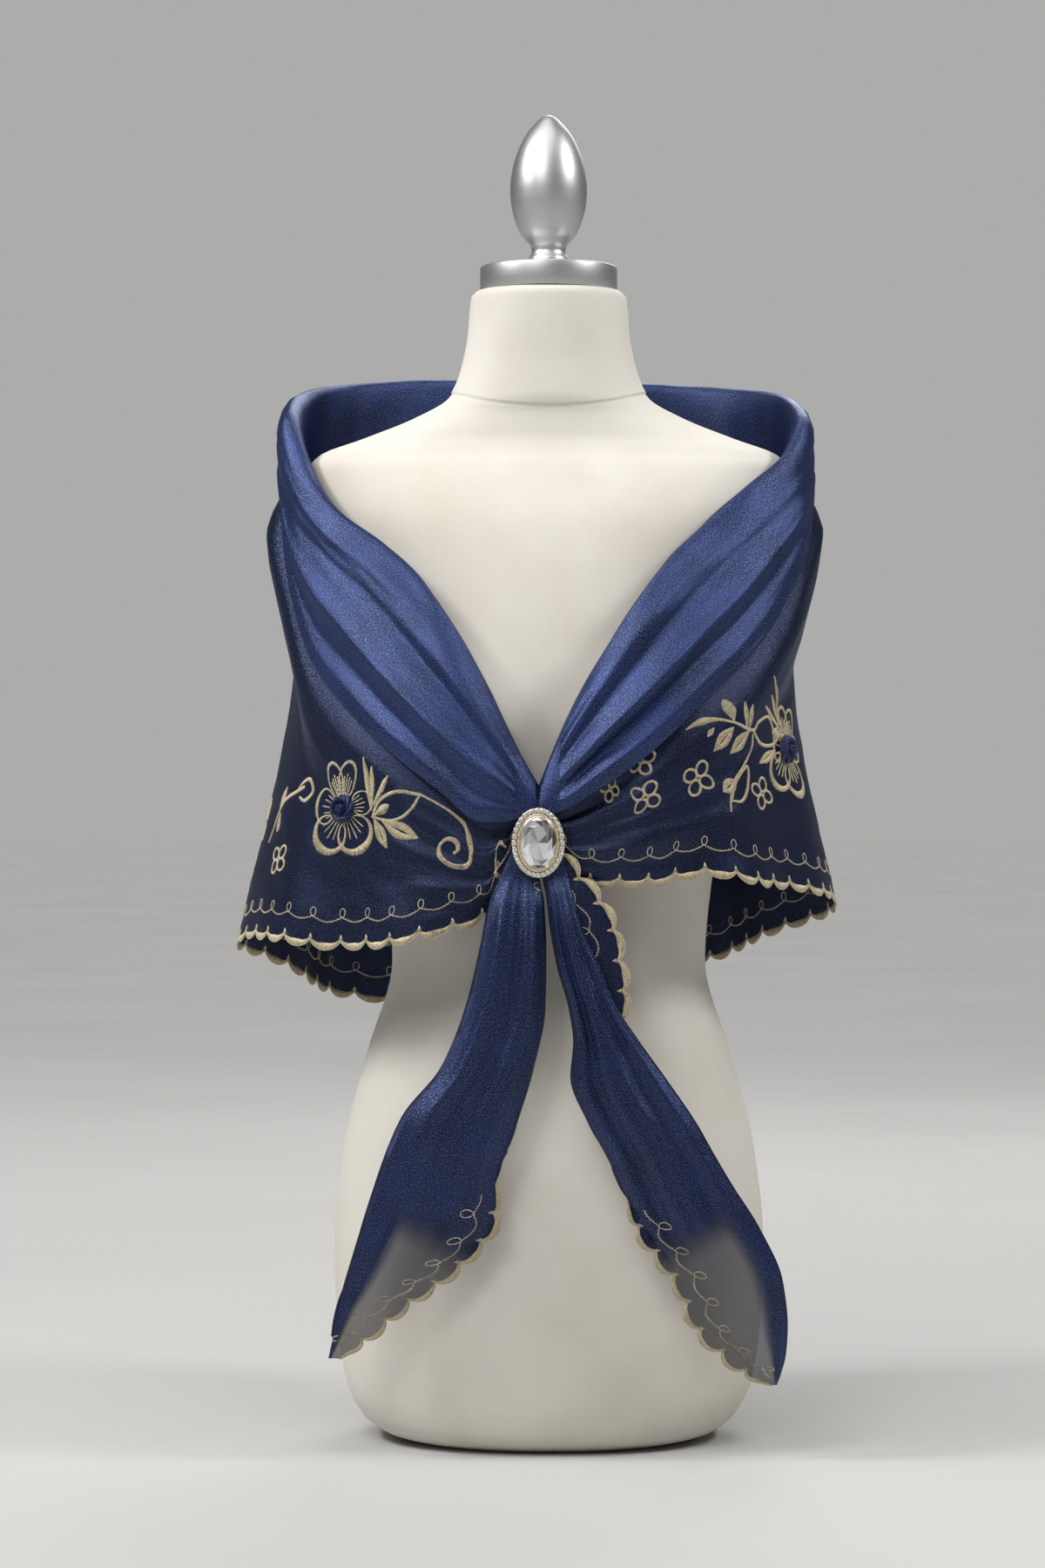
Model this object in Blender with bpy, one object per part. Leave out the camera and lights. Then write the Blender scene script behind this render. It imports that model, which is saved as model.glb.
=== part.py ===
"""An embroidered organza shawl on a limbless dress form, held by an oval brooch.

Metres, +Z up. The wearer's front faces -Y, and the origin is the middle of the
form's flat underside. The shawl is one long strip of cloth: its middle stands
round the neck and hangs over the shoulders, and its two ends pass under the
brooch and hang down in front as tails. Every stretch that shows is a thin wall
of its own. Tables are in millimetres and degrees, with named columns.
"""

import math
from collections import namedtuple
from functools import lru_cache

import bmesh
import bpy
from mathutils import Vector

MM = 0.001

# Cloth
CLOTH = 1.2 * MM
SEAM_GAP = 0.3 * MM
SEAT = 0.6 * MM
SCALLOP_WIDTH = 23.0 * MM
SCALLOP_DEPTH = 7.0 * MM
SCALLOP_BAND = 1.0 * MM
# How far from the brooch the hem's scallops reach their full depth
FULL_SCALLOP_TURN = 10
FINE_PER_SCALLOP = 4

# Where the shawl's two ends meet, seen from above as an angle from the front
MEET_TURN = 3.55
MEET_RADIUS = 132
# The angles at which one stretch of the shawl ends and the next begins
LEFT_SEAM_TURN = 84.0
RIGHT_SEAM_TURN = 276.0

# Each stretch of the shawl round the shoulders: where it starts and ends, and
# how many upright lines it has to each scallop of its hem
STRETCHES = {
    "shawl_left_front": (MEET_TURN, LEFT_SEAM_TURN, 2),
    "shawl_back": (LEFT_SEAM_TURN, RIGHT_SEAM_TURN, 1),
    "shawl_right_front": (RIGHT_SEAM_TURN, 360 + MEET_TURN, 2),
}

# Brooch: an oval plate with a ring of small stones in cups, and a cup inside a
# rope edge for the large stone. Its back lies just in front of the cloth.
BROOCH_CENTRE = (-8.7, -145.8, 463.3)
BROOCH_HALF_WIDTH = 19.7
BROOCH_HALF_HEIGHT = 25.9
RING_STONES = 32
STONE_SIDES = 24
STONE_SEAT = 2.0
# Rings of the setting, from its back to the floor of the middle cup. "inset" is
# the distance in from the outer edge, "out" the distance from the back and
# "cupped" how far every second point is let in to make the small stones' cups.
SettingRing = namedtuple("SettingRing", "inset out cupped")
SETTING_RINGS = [
    SettingRing(0.9, 0.0, 0.0),
    SettingRing(0.0, 0.8, 0.0),
    SettingRing(0.0, 1.9, 0.3),
    SettingRing(1.0, 3.3, 0.9),
    SettingRing(3.2, 3.3, 0.9),
    SettingRing(4.1, 2.4, 0.3),
    SettingRing(4.6, 3.8, 0.0),
    SettingRing(5.6, 3.6, 0.0),
    SettingRing(5.9, STONE_SEAT - SEAM_GAP / MM, 0.0),
]
# Rings of the large cut stone, from its back to its flat front
StoneRing = namedtuple("StoneRing", "inset out")
STONE_RINGS = [
    StoneRing(7.1, STONE_SEAT),
    StoneRing(6.2, 3.6),
    StoneRing(8.8, 5.9),
    StoneRing(13.2, 8.4),
]

# Form
NECK_TOP = 890.5
CAP_TOP = 910.0
FORM_SIDES = 36
FINIAL_SIDES = 20
# The turned pieces on the neck, from the bottom up
TurnedLevel = namedtuple("TurnedLevel", "height radius")
CAP_LEVELS = [
    TurnedLevel(NECK_TOP + SEAM_GAP / MM, 52.5),
    TurnedLevel(NECK_TOP + SEAM_GAP / MM + 2, 53.5),
    TurnedLevel(CAP_TOP - 1.5, 53.5),
    TurnedLevel(CAP_TOP, 52),
]
FINIAL_LEVELS = [
    TurnedLevel(CAP_TOP + SEAM_GAP / MM, 16),
    TurnedLevel(917, 15.5),
    TurnedLevel(923, 13.2),
    TurnedLevel(927, 14.2),
    TurnedLevel(934, 20.5),
    TurnedLevel(946, 26),
    TurnedLevel(959, 29.2),
    TurnedLevel(973, 30),
    TurnedLevel(988, 28),
    TurnedLevel(1002, 23.6),
    TurnedLevel(1014, 17.4),
    TurnedLevel(1023, 10),
    TurnedLevel(1029, 1),
]


# Each row is one level of the dress form: half its width, how far it reaches
# to the front and to the back, and how square its outline is (2 is an ellipse)
FormLevel = namedtuple("FormLevel", "height half_width front back square")
FORM_LEVELS = [
    FormLevel(0, 108, 84, 88, 2.2),
    FormLevel(5, 127, 97, 101, 2.2),
    FormLevel(17, 144, 108, 113, 2.2),
    FormLevel(40, 157, 114, 121, 2.2),
    FormLevel(90, 165, 119, 126, 2.2),
    FormLevel(155, 167, 119, 126, 2.2),
    FormLevel(225, 160, 115, 115, 2.2),
    FormLevel(300, 141, 104, 95, 2.15),
    FormLevel(370, 122, 94, 85, 2.1),
    FormLevel(430, 127, 94, 89, 2.15),
    FormLevel(485, 139, 98, 97, 2.2),
    FormLevel(530, 148, 101, 104, 2.25),
    FormLevel(575, 154, 102, 109, 2.3),
    FormLevel(620, 157, 99, 112, 2.3),
    FormLevel(670, 164, 91, 112, 2.3),
    FormLevel(710, 178, 81, 106, 2.3),
    FormLevel(738, 185.5, 69, 95, 2.2),
    FormLevel(753, 187, 61, 86, 2.1),
    FormLevel(763, 179, 55, 78, 2.0),
    FormLevel(776, 145, 51, 69, 2.0),
    FormLevel(792, 105, 50.5, 62, 2.0),
    FormLevel(808, 78, 53, 57, 2.0),
    FormLevel(828, 68.5, 53, 54, 2.0),
    FormLevel(855, 63.5, 54, 53, 2.0),
    FormLevel(886, 60.5, 55, 53, 2.0),
    FormLevel(NECK_TOP, 56.5, 52, 50.5, 2.0),
]
# The bust: how far its two mounds lie to the sides, how high, how far they stand
# out and how wide they are, and how far from the axis they reach their full size
BUST_SIDE = 78
BUST_HEIGHT = 552
BUST_REACH = 21
BUST_SPREAD = 46
BUST_FULL_AT = 80

# Each row is one upright cut through the shawl round the shoulders, seen from
# above at an angle that grows from the front to the wearer's right side, the
# back and the other side. From top to bottom a cut passes the turned-in lip,
# the edge round the neck, the belly of the upper roll, the crease under it,
# the tuck behind the crease, the upper arm, the waist and the hem. "_r" is the
# distance from the form's axis and "_z" the height. "band" is how thick the
# rolled edge is, and "tuck" how far the cloth goes up again behind the crease;
# below 0 the crease has opened into a soft step.
Cut = namedtuple(
    "Cut",
    "turn lip_r lip_z edge_r edge_z band roll_r roll_z crease_r crease_z tuck"
    " arm_r arm_z waist_r waist_z hem_r hem_z",
)
CUTS = [
    Cut(3.55, 131, 495, 134, 506, 6, 141.7, 496, 143.2, 482, 3, 133.5, 476, 133, 470, 132, 464),
    Cut(9, 131, 512, 134, 528, 6, 144.2, 510, 145.6, 481, 4, 135, 474, 134, 467, 133, 459),
    Cut(15, 130, 535, 135, 556, 7, 149, 530, 151, 479, 6, 140, 467, 138, 452, 136, 436),
    Cut(19, 129, 550, 136, 576, 8, 152, 542, 154, 479, 9, 145, 463, 143, 440, 141, 414),
    Cut(31, 128, 592, 137, 624, 10, 158, 578, 162, 503, 13, 158, 482, 159, 448, 164, 401),
    Cut(44, 130, 630, 139, 661, 12, 164, 616, 173, 532, 13, 172, 508, 173, 461, 181, 392),
    Cut(57, 141, 660, 152, 690, 14, 174, 655, 185, 566, 11, 187, 540, 188, 482, 199, 390),
    Cut(68, 163, 686, 174, 715, 15, 190, 688, 197, 604, 9, 198, 574, 195, 512, 216, 395),
    Cut(79, 180, 716, 190, 750, 17, 203, 722, 206, 670, 7, 209, 641, 197, 562, 230, 396),
    Cut(90, 187.2, 736, 202, 797, 18, 211, 770, 210, 738, 5, 220, 700, 197, 592, 238, 390),
    Cut(104, 195, 748, 203, 816, 17, 211, 790, 211, 755, 0, 219, 712, 200, 600, 236, 378),
    Cut(120, 181, 756, 190, 828, 15, 198, 804, 202, 766, -8, 207, 718, 196, 610, 223, 352),
    Cut(138, 146, 757, 154, 834, 13, 161, 812, 168, 770, -14, 176, 714, 180, 610, 204, 335),
    Cut(158, 117, 757, 124, 835, 12, 131, 814, 139, 770, -14, 149, 710, 157, 600, 187, 328),
    Cut(180, 108, 757, 114, 835, 12, 121, 814, 129, 770, -14, 139, 708, 147, 600, 179, 326),
    Cut(202, 117, 757, 124, 833, 12, 131, 812, 139, 768, -14, 149, 710, 156, 600, 182, 340),
    Cut(222, 146, 755, 154, 830, 13, 161, 808, 168, 766, -14, 175, 712, 178, 606, 190, 368),
    Cut(240, 176, 753, 184, 824, 15, 192, 800, 196, 762, -8, 201, 714, 190, 604, 206, 389),
    Cut(256, 190, 746, 198, 812, 16, 206, 786, 207, 750, 0, 213, 708, 192, 600, 218, 408),
    Cut(270, 187.9, 736, 198, 796, 16, 207, 769, 207, 738, 5, 214, 702, 190, 594, 221, 422),
    Cut(282, 179, 716, 187, 762, 14, 201, 734, 204, 690, 6, 206, 658, 191, 574, 215, 428),
    Cut(293, 155, 694, 165, 735, 14, 184, 702, 193, 640, 8, 196, 612, 189, 547, 204, 434),
    Cut(305, 136, 672, 145, 705, 12, 170, 668, 182, 601, 9, 185, 574, 181, 524, 190, 438),
    Cut(318, 130, 648, 138, 680, 10, 161, 636, 171, 568, 10, 172, 543, 171, 502, 175, 445),
    Cut(332, 128, 612, 136, 643, 9, 156, 597, 162, 532, 10, 160, 514, 159, 484, 160, 438),
    Cut(346, 130, 563, 135, 593, 8, 150, 556, 154, 504, 7, 143, 491, 141, 470, 140, 437),
    Cut(355, 131, 522, 134, 554, 7, 144.7, 526, 146.6, 489, 4, 136, 481, 135, 466, 134, 446),
    Cut(363.55, 131, 495, 134, 506, 6, 141.7, 496, 143.2, 482, 3, 133.5, 476, 133, 470, 132, 459),
]
# How many steps a cut takes from each named point to the next
CUT_STEPS = [2, 1, 1, 2, 3, 1, 1, 1, 1, 2, 3, 4]
SKIRT_ROW = sum(CUT_STEPS[:9])
HEM_ROW = sum(CUT_STEPS)
# How far apart the layers of a crease lie, and the size of the soft step that
# it has become at the back
LAYER_GAP = 4.0
LEAST_TUCK = 3.0
STEP_IN = 3.0
STEP_DOWN = 16.0
STEP_IS_OPEN_AT = -10.0
# How far the roll falls away beside its edge, as a share of its thickness
ROLL_FALL = 0.55

# Long soft folds that run out from the brooch. "row" is the row of a cut that
# a fold runs along, "width" how many rows it is wide, and "fade" the angle by
# which it has flattened out.
Pleat = namedtuple("Pleat", "side row width depth fade")
PLEATS = [
    Pleat("left", 5.2, 0.9, 5.0, 36),
    Pleat("left", 7.6, 0.9, 5.5, 46),
    Pleat("left", 16.4, 1.0, 4.5, 28),
    Pleat("left", 19.6, 1.0, 5.5, 36),
    Pleat("right", 4.6, 0.8, 5.0, 40),
    Pleat("right", 6.3, 0.8, 6.5, 56),
    Pleat("right", 8.2, 0.8, 5.5, 44),
    Pleat("right", 16.4, 1.0, 5.0, 42),
    Pleat("right", 19.6, 1.0, 5.5, 64),
]
# The brooch presses the cloth flat as far as this angle to each side of it
PRESSED_TURN = 6.0
# Below 1 a pleat is deepest nearer to the brooch than to its far end
PLEAT_SKEW = 0.6
# Upright flutes that open towards the hem, slowly at first where the power is over 1
FLUTE_POWER = 1.3
Flute = namedtuple("Flute", "turn half_angle depth")
FLUTES = [
    Flute(38, 9, 5),
    Flute(52, 7, -4),
    Flute(67, 8, 5),
    Flute(98, 8, 8),
    Flute(114, 8, -10),
    Flute(130, 7, 11),
    Flute(147, 8, -11),
    Flute(163, 7, 10),
    Flute(177, 6, -8),
    Flute(192, 8, 12),
    Flute(209, 7, -11),
    Flute(224, 7, 9),
    Flute(241, 8, -9),
    Flute(259, 8, 8),
    Flute(294, 8, -5),
    Flute(310, 7, 5),
    Flute(325, 8, -4),
]

# Each row is one level of a tail. "outer" and "inner" are the side edges of
# the front layer, away from and near to the other tail. "border" is how far
# the scalloped part that is turned behind the front layer comes back from the
# inner edge, "end" the same for the short end turned behind the outer edge,
# "apart" how far behind the front layer they lie, "front" the place of the
# front layer and "bow" how far its middle stands out.
TailLevel = namedtuple("TailLevel", "height outer inner border end apart front bow")
LEFT_TAIL = [
    TailLevel(476, -24, -9.6, 5, 3, 2.5, -142.0, 0.5),
    TailLevel(458, -28, -9.6, 9, 4, 2.5, -142.5, 1.0),
    TailLevel(440, -36, -8.2, 15, 5, 3.0, -142.3, 1.2),
    TailLevel(417, -46, -4, 22, 7, 4.0, -146.4, 4.5),
    TailLevel(386, -52, -2.6, 33, 10, 5.0, -149, 7),
    TailLevel(341, -63, -3.4, 44, 14, 5.0, -149, 8),
    TailLevel(296, -82, -12, 52, 22, 5.0, -148, 9),
    TailLevel(262, -109, -22, 34, 28, 5.0, -146, 9),
    TailLevel(240, -120, -29, 17, 25, 6.5, -145, 9),
    TailLevel(224, -126, -38, 0, 24, 6.5, -143, 9),
    TailLevel(181, -140, -44, 0, 22, 5.0, -138, 8),
    TailLevel(150, -149, -69, 0, 15, 5.0, -134, 7),
    TailLevel(118, -158, -112, 0, 4, 3.5, -129, 5),
    TailLevel(96, -162, -137, 0, 0.8, 2.0, -126, 2),
    TailLevel(77, -166, -158, 0, 0.5, 2.5, -123, 0),
]
RIGHT_TAIL = [
    TailLevel(476, 6, -7.8, 6, 0, 2.5, -142.0, 0.5),
    TailLevel(458, 9, -7.6, 12, 0, 2.5, -142.5, 1.0),
    TailLevel(440, 13, -6.2, 22, 0, 3.0, -142.8, 1.5),
    TailLevel(425, 17, -3, 31, 0, 4.0, -146, 4),
    TailLevel(400, 24, 0, 43, 0, 5.0, -149, 5),
    TailLevel(372, 37, 5, 43, 0, 5.0, -149, 6),
    TailLevel(341, 50, 13.6, 37, 0, 5.0, -149, 7),
    TailLevel(315, 67, 17, 26, 0, 5.0, -148, 8),
    TailLevel(290, 85, 15, 34, 0, 5.0, -147, 9),
    TailLevel(255, 109, 28, 28, 0, 5.0, -145, 10),
    TailLevel(232, 122, 41, 15, 0, 5.0, -143, 10),
    TailLevel(210, 135, 52, 0, 0, 5.0, -141, 10),
    TailLevel(175, 157, 69, 0, 0, 5.0, -137, 10),
    TailLevel(136, 174, 97, 0, 0, 5.0, -131, 9),
    TailLevel(101, 178, 113, 0, 0, 5.0, -127, 7),
    TailLevel(82, 177, 132, 0, 0, 5.0, -125, 4),
    TailLevel(65, 173, 153, 0, 0, 5.0, -123, 1),
    TailLevel(57, 170, 166, 0, 0, 5.0, -122, 0),
]
TAIL_COLUMNS = 9
BORDER_COLUMNS = 3
END_COLUMNS = 1
# How much further behind the front layer the short end lies than the border
END_BEHIND = 3.0
# A border narrower than this has run out into the front layer's inner edge
LEAST_BORDER = 2.0
# How far the border is still turned behind one scallop above that place
LAST_REACH = 3.0
# Ridges down a tail, from 0 at its outer edge to 1 at its inner edge
TailRidge = namedtuple("TailRidge", "across width depth")
# The brooch presses a tail flat this far down, and its ridges are full after a
# further drop
PRESSED_DROP = 34.0
OPENING_DROP = 40.0
FULL_RIDGE_WIDTH = 45.0
LEFT_RIDGES = [TailRidge(0.22, 0.10, 3.5), TailRidge(0.55, 0.11, -3.0), TailRidge(0.82, 0.09, 3.0)]
RIGHT_RIDGES = [TailRidge(0.30, 0.11, -3.0), TailRidge(0.62, 0.10, 3.0), TailRidge(0.88, 0.08, 4.5)]

# Round fabric rosettes, one at the heart of each large embroidered flower
Rosette = namedtuple("Rosette", "name turn above_hem")
ROSETTES = [
    Rosette("rosette_left_front", 56.4, 99),
    Rosette("rosette_left_back", 112.0, 99),
    Rosette("rosette_back", 171.0, 99),
    Rosette("rosette_right_back", 230.0, 99),
    Rosette("rosette_right_front", 288.2, 103),
]
ROSETTE_RADIUS = 10.0
ROSETTE_PETALS = 5
# Its outline at each height over the cloth. "reach" is a share of the radius,
# "notch" how deep the petals are parted and "twist" the share of a petal's
# width by which that row is turned.
RosetteRow = namedtuple("RosetteRow", "height reach notch twist")
ROSETTE_ROWS = [
    RosetteRow(0.0, 0.70, 0.10, 0.0),
    RosetteRow(1.4, 1.00, 0.22, 0.0),
    RosetteRow(3.4, 0.96, 0.22, 0.0),
    RosetteRow(5.0, 0.66, 0.14, 0.3),
    RosetteRow(6.6, 0.68, 0.20, 0.5),
    RosetteRow(8.2, 0.40, 0.12, 0.6),
    RosetteRow(8.8, 0.16, 0.0, 0.6),
]

COLOURS = {
    "form cloth": ((0.80, 0.78, 0.74), 0.85, 0.0),
    "turned aluminium": ((0.62, 0.62, 0.63), 0.32, 1.0),
    "navy organza": ((0.020, 0.055, 0.185), 0.45, 0.0),
    "navy satin ribbon": ((0.008, 0.018, 0.075), 0.40, 0.0),
    "pale gold plate": ((0.72, 0.64, 0.46), 0.25, 1.0),
    "clear crystal": ((0.80, 0.82, 0.85), 0.05, 0.0),
}


def material(name):
    """The Principled material of that name, made once."""
    found = bpy.data.materials.get(name)
    if found:
        return found
    colour, roughness, metallic = COLOURS[name]
    made = bpy.data.materials.new(name)
    made.use_nodes = True
    shader = made.node_tree.nodes["Principled BSDF"]
    shader.inputs["Base Color"].default_value = (*colour, 1.0)
    shader.inputs["Roughness"].default_value = roughness
    shader.inputs["Metallic"].default_value = metallic
    return made


def slopes(at, values):
    """Slopes for a smooth curve through values that never overshoots them."""
    steps = [(b - a) / (q - p) for a, b, p, q in zip(values, values[1:], at, at[1:])]
    found = [steps[0]]
    for left, right in zip(steps, steps[1:]):
        same_way = left * right > 0
        found.append(2 * left * right / (left + right) if same_way else 0.0)
    return found + [steps[-1]]


class Table:
    """Rows with named columns, read smoothly between the rows by their first column."""

    def __init__(self, rows):
        self.kind = type(rows[0])
        self.rows = sorted(rows)
        self.at = [row[0] for row in self.rows]
        columns = list(zip(*self.rows))
        self.columns = [(column, slopes(self.at, column)) for column in columns]

    def read(self, at):
        at = min(max(at, self.at[0]), self.at[-1])
        i = 0
        while i < len(self.at) - 2 and at > self.at[i + 1]:
            i += 1
        width = self.at[i + 1] - self.at[i]
        t = (at - self.at[i]) / width
        start, end = (1 + 2 * t) * (1 - t) ** 2, t * t * (3 - 2 * t)
        leave, arrive = t * (1 - t) ** 2 * width, t * t * (t - 1) * width
        return self.kind(
            *(
                start * v[i] + end * v[i + 1] + leave * m[i] + arrive * m[i + 1]
                for v, m in self.columns
            )
        )


def curve_through(points, steps):
    """Points on a smooth curve through the given points, with steps[k] spans in stretch k."""
    points = [Vector(p) for p in points]
    spans = [max((b - a).length, 1e-6) for a, b in zip(points, points[1:])]
    tangents = []
    for k in range(len(points)):
        before = max(k - 1, 0)
        after = min(k + 1, len(points) - 1)
        reach = sum(spans[before:after])
        tangents.append((points[after] - points[before]) / reach)
    found = [points[0]]
    for k, count in enumerate(steps):
        span = spans[k]
        for step in range(1, count + 1):
            t = step / count
            found.append(
                points[k] * (1 + 2 * t) * (1 - t) ** 2
                + points[k + 1] * t * t * (3 - 2 * t)
                + tangents[k] * span * t * (1 - t) ** 2
                + tangents[k + 1] * span * t * t * (t - 1)
            )
    return found


def bell(distance, width):
    """1 at distance 0, fading smoothly to nothing past twice the width."""
    return math.exp(-((distance / width) ** 2))


def new_object(name, mesh_source, material_name, smooth=True):
    """An object from a bmesh, with its material."""
    mesh = bpy.data.meshes.new(name)
    mesh_source.to_mesh(mesh)
    mesh_source.free()
    if smooth:
        mesh.shade_smooth()
        mesh.set_sharp_from_angle(angle=math.radians(50))
    made = bpy.data.objects.new(name, mesh)
    made.data.materials.append(material(material_name))
    bpy.context.scene.collection.objects.link(made)
    return made


def loft(name, rings, material_name, smooth=True):
    """A closed solid through rings of points, each ring anticlockwise from above, lowest first."""
    bm = bmesh.new()
    rows = [[bm.verts.new(p) for p in ring] for ring in rings]
    for low, high in zip(rows, rows[1:]):
        for i in range(len(low)):
            k = (i + 1) % len(low)
            bm.faces.new((low[i], low[k], high[k], high[i]))
    bm.faces.new(rows[0][::-1])
    bm.faces.new(rows[-1])
    return new_object(name, bm, material_name, smooth)


def ring_at(height, half_width, front, back, square, sides=FORM_SIDES):
    """A level outline with separate reach to the front and back, in metres."""
    found = []
    for i in range(sides):
        angle = 2 * math.pi * i / sides
        c, s = math.cos(angle), math.sin(angle)
        x = math.copysign(abs(c) ** (2 / square), c) * half_width
        y = math.copysign(abs(s) ** (2 / square), s) * (back if s > 0 else front)
        found.append(Vector((x, y, height)) * MM)
    return found


def with_bust(point):
    """The point, moved to the front where the form's bust stands out."""
    x, z = point.x / MM, point.z / MM
    if point.y >= 0:
        return point
    rise = sum(
        math.exp(-(((x - side) / BUST_SPREAD) ** 2) - ((z - BUST_HEIGHT) / BUST_SPREAD) ** 2)
        for side in (-BUST_SIDE, BUST_SIDE)
    )
    front_share = min(1.0, -point.y / (BUST_FULL_AT * MM))
    return point + Vector((0, -BUST_REACH * MM * rise * front_share, 0))


def dress_form():
    """The covered body, its neck cap and its finial."""
    rings = [[with_bust(p) for p in ring_at(*level)] for level in FORM_LEVELS]
    loft("form_body", rings, "form cloth")
    turned = (("neck_cap", CAP_LEVELS, FORM_SIDES), ("finial", FINIAL_LEVELS, FINIAL_SIDES))
    for name, levels, sides in turned:
        rings = [ring_at(z, radius, radius, radius, 2, sides) for z, radius in levels]
        loft(name, rings, "turned aluminium")


def on_polar(turn, r, z):
    """The point at that angle from the front, distance from the axis and height, in metres."""
    angle = math.radians(turn)
    return Vector((-r * math.sin(angle), -r * math.cos(angle), z))


def crease_points(cut):
    """The cloth's way under the roll, up behind it and down again, or down a soft step."""
    tuck = max(cut.tuck, LEAST_TUCK)
    rise = 0.3 * LAYER_GAP
    folded = [
        (0, 0),
        (0.5 * LAYER_GAP, -rise),
        (LAYER_GAP, tuck),
        (1.5 * LAYER_GAP, tuck + rise),
        (2 * LAYER_GAP, tuck - 1),
    ]
    opened = min(1.0, max(0.0, cut.tuck / STEP_IS_OPEN_AT))
    points = []
    for k, (back, up) in enumerate(folded):
        share = k / (len(folded) - 1)
        back += opened * (STEP_IN * share - back)
        up += opened * (-STEP_DOWN * share - up)
        points.append((cut.crease_r - back, cut.crease_z + up))
    return points


def cut_points(cut):
    """The named points of a cut, as (distance, height) in metres, from the lip to the hem."""
    drop = ROLL_FALL * cut.band
    half = cut.band / 2
    points = [
        (cut.lip_r, cut.lip_z),
        (cut.edge_r - half, cut.edge_z - drop),
        (cut.edge_r, cut.edge_z),
        (cut.edge_r + half, cut.edge_z - drop),
        (cut.roll_r, cut.roll_z - drop),
        *crease_points(cut),
        (cut.arm_r, cut.arm_z),
        (cut.waist_r, cut.waist_z),
        (cut.hem_r, cut.hem_z),
    ]
    return [Vector((r, z)) * MM for r, z in points]


CUT_TABLE = Table(CUTS)


@lru_cache
def shoulder_line(turn):
    """The points of the shawl's middle surface at one angle, from the lip to the hem."""
    profile = curve_through(cut_points(CUT_TABLE.read(turn)), CUT_STEPS)
    from_brooch = {"left": turn - MEET_TURN, "right": 360 + MEET_TURN - turn}
    found = []
    for row, (r, z) in enumerate(profile):
        down_skirt = max(0.0, (row - SKIRT_ROW) / (HEM_ROW - SKIRT_ROW))
        push = 0.0
        for pleat in PLEATS:
            along = (from_brooch[pleat.side] - PRESSED_TURN) / (pleat.fade - PRESSED_TURN)
            if 0 < along < 1:
                swell = math.sin(math.pi * along**PLEAT_SKEW)
                push += pleat.depth * swell * bell(row - pleat.row, pleat.width)
        for flute in FLUTES:
            push += flute.depth * bell(turn - flute.turn, flute.half_angle) * down_skirt**FLUTE_POWER
        found.append(on_polar(turn, r + push * MM, z))
    return tuple(found)


def evenly_spaced(place, start, end, width):
    """Parameters from start to end at which place(parameter) has moved on by about width."""
    count = 1500
    at = [start + (end - start) * i / count for i in range(count + 1)]
    points = [place(t) for t in at]
    along = [0.0]
    for a, b in zip(points, points[1:]):
        along.append(along[-1] + (b - a).length)
    pieces = max(1, round(along[-1] / width))
    found, i = [], 0
    for n in range(pieces + 1):
        goal = along[-1] * n / pieces
        while i < count - 1 and along[i + 1] < goal:
            i += 1
        share = (goal - along[i]) / (along[i + 1] - along[i])
        found.append(at[i] + share * (at[i + 1] - at[i]))
    return found


def add_grid(bm, lines):
    """Faces between neighbouring lines of points. Returns the vertices of each line."""
    rows = [[bm.verts.new(p) for p in line] for line in lines]
    for a, b in zip(rows, rows[1:]):
        for j in range(len(a) - 1):
            bm.faces.new((a[j], b[j], b[j + 1], a[j + 1]))
    return rows


def add_scallops(bm, edge, outward, per_span, depth):
    """Adds round scallops outside a line of vertices. per_span fine steps lie in each span, and
    depth(k) is a scallop's share of its full depth at vertex k. Returns the two end vertices."""
    fine = [bm.verts.new(edge[0].co + outward[0] * SCALLOP_BAND)]
    first = fine[0]
    for i in range(len(edge) - 1):
        a, b = edge[i], edge[i + 1]
        fine = [fine[-1]]
        for step in range(1, per_span + 1):
            t = step / per_span
            phase = ((i * per_span + step) % FINE_PER_SCALLOP) / FINE_PER_SCALLOP
            drop = SCALLOP_DEPTH * math.sqrt(max(0.0, 1 - (2 * phase - 1) ** 2)) * depth(i + t)
            way = outward[i].lerp(outward[i + 1], t).normalized()
            fine.append(bm.verts.new(a.co.lerp(b.co, t) + way * (SCALLOP_BAND + drop)))
        middle = per_span // 2
        for step in range(middle):
            bm.faces.new((a, fine[step + 1], fine[step]))
        bm.faces.new((a, b, fine[middle]))
        for step in range(middle, per_span):
            bm.faces.new((b, fine[step + 1], fine[step]))
    return first, fine[-1]


def cloth(name, sheet, ends=()):
    """A wall of the cloth's thickness round the middle surface held in a bmesh. ends are pairs
    of vertices and a direction: there the wall is cut off square to that direction."""
    bmesh.ops.triangulate(sheet, faces=sheet.faces[:], quad_method="SHORT_EDGE")
    bmesh.ops.recalc_face_normals(sheet, faces=sheet.faces[:])
    sheet.normal_update()
    ways = {vertex: vertex.normal.copy() for vertex in sheet.verts}
    for vertices, direction in ends:
        for vertex in vertices:
            way = ways[vertex]
            ways[vertex] = (way - direction * way.dot(direction)).normalized()
    wall = bmesh.new()
    outer = {v: wall.verts.new(v.co + way * CLOTH / 2) for v, way in ways.items()}
    inner = {v: wall.verts.new(v.co - way * CLOTH / 2) for v, way in ways.items()}
    for face in sheet.faces:
        wall.faces.new([outer[v] for v in face.verts])
        wall.faces.new([inner[v] for v in reversed(face.verts)])
    for edge in sheet.edges:
        if edge.is_boundary:
            loop = edge.link_loops[0]
            a, b = loop.vert, loop.link_loop_next.vert
            wall.faces.new((outer[b], outer[a], inner[a], inner[b]))
    sheet.free()
    return new_object(name, wall, "navy organza")


def hem_point(turn):
    """The lowest point of the plain cloth at an angle, before the hem's scallops."""
    cut = CUT_TABLE.read(turn)
    return on_polar(turn, cut.hem_r * MM, cut.hem_z * MM)


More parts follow.
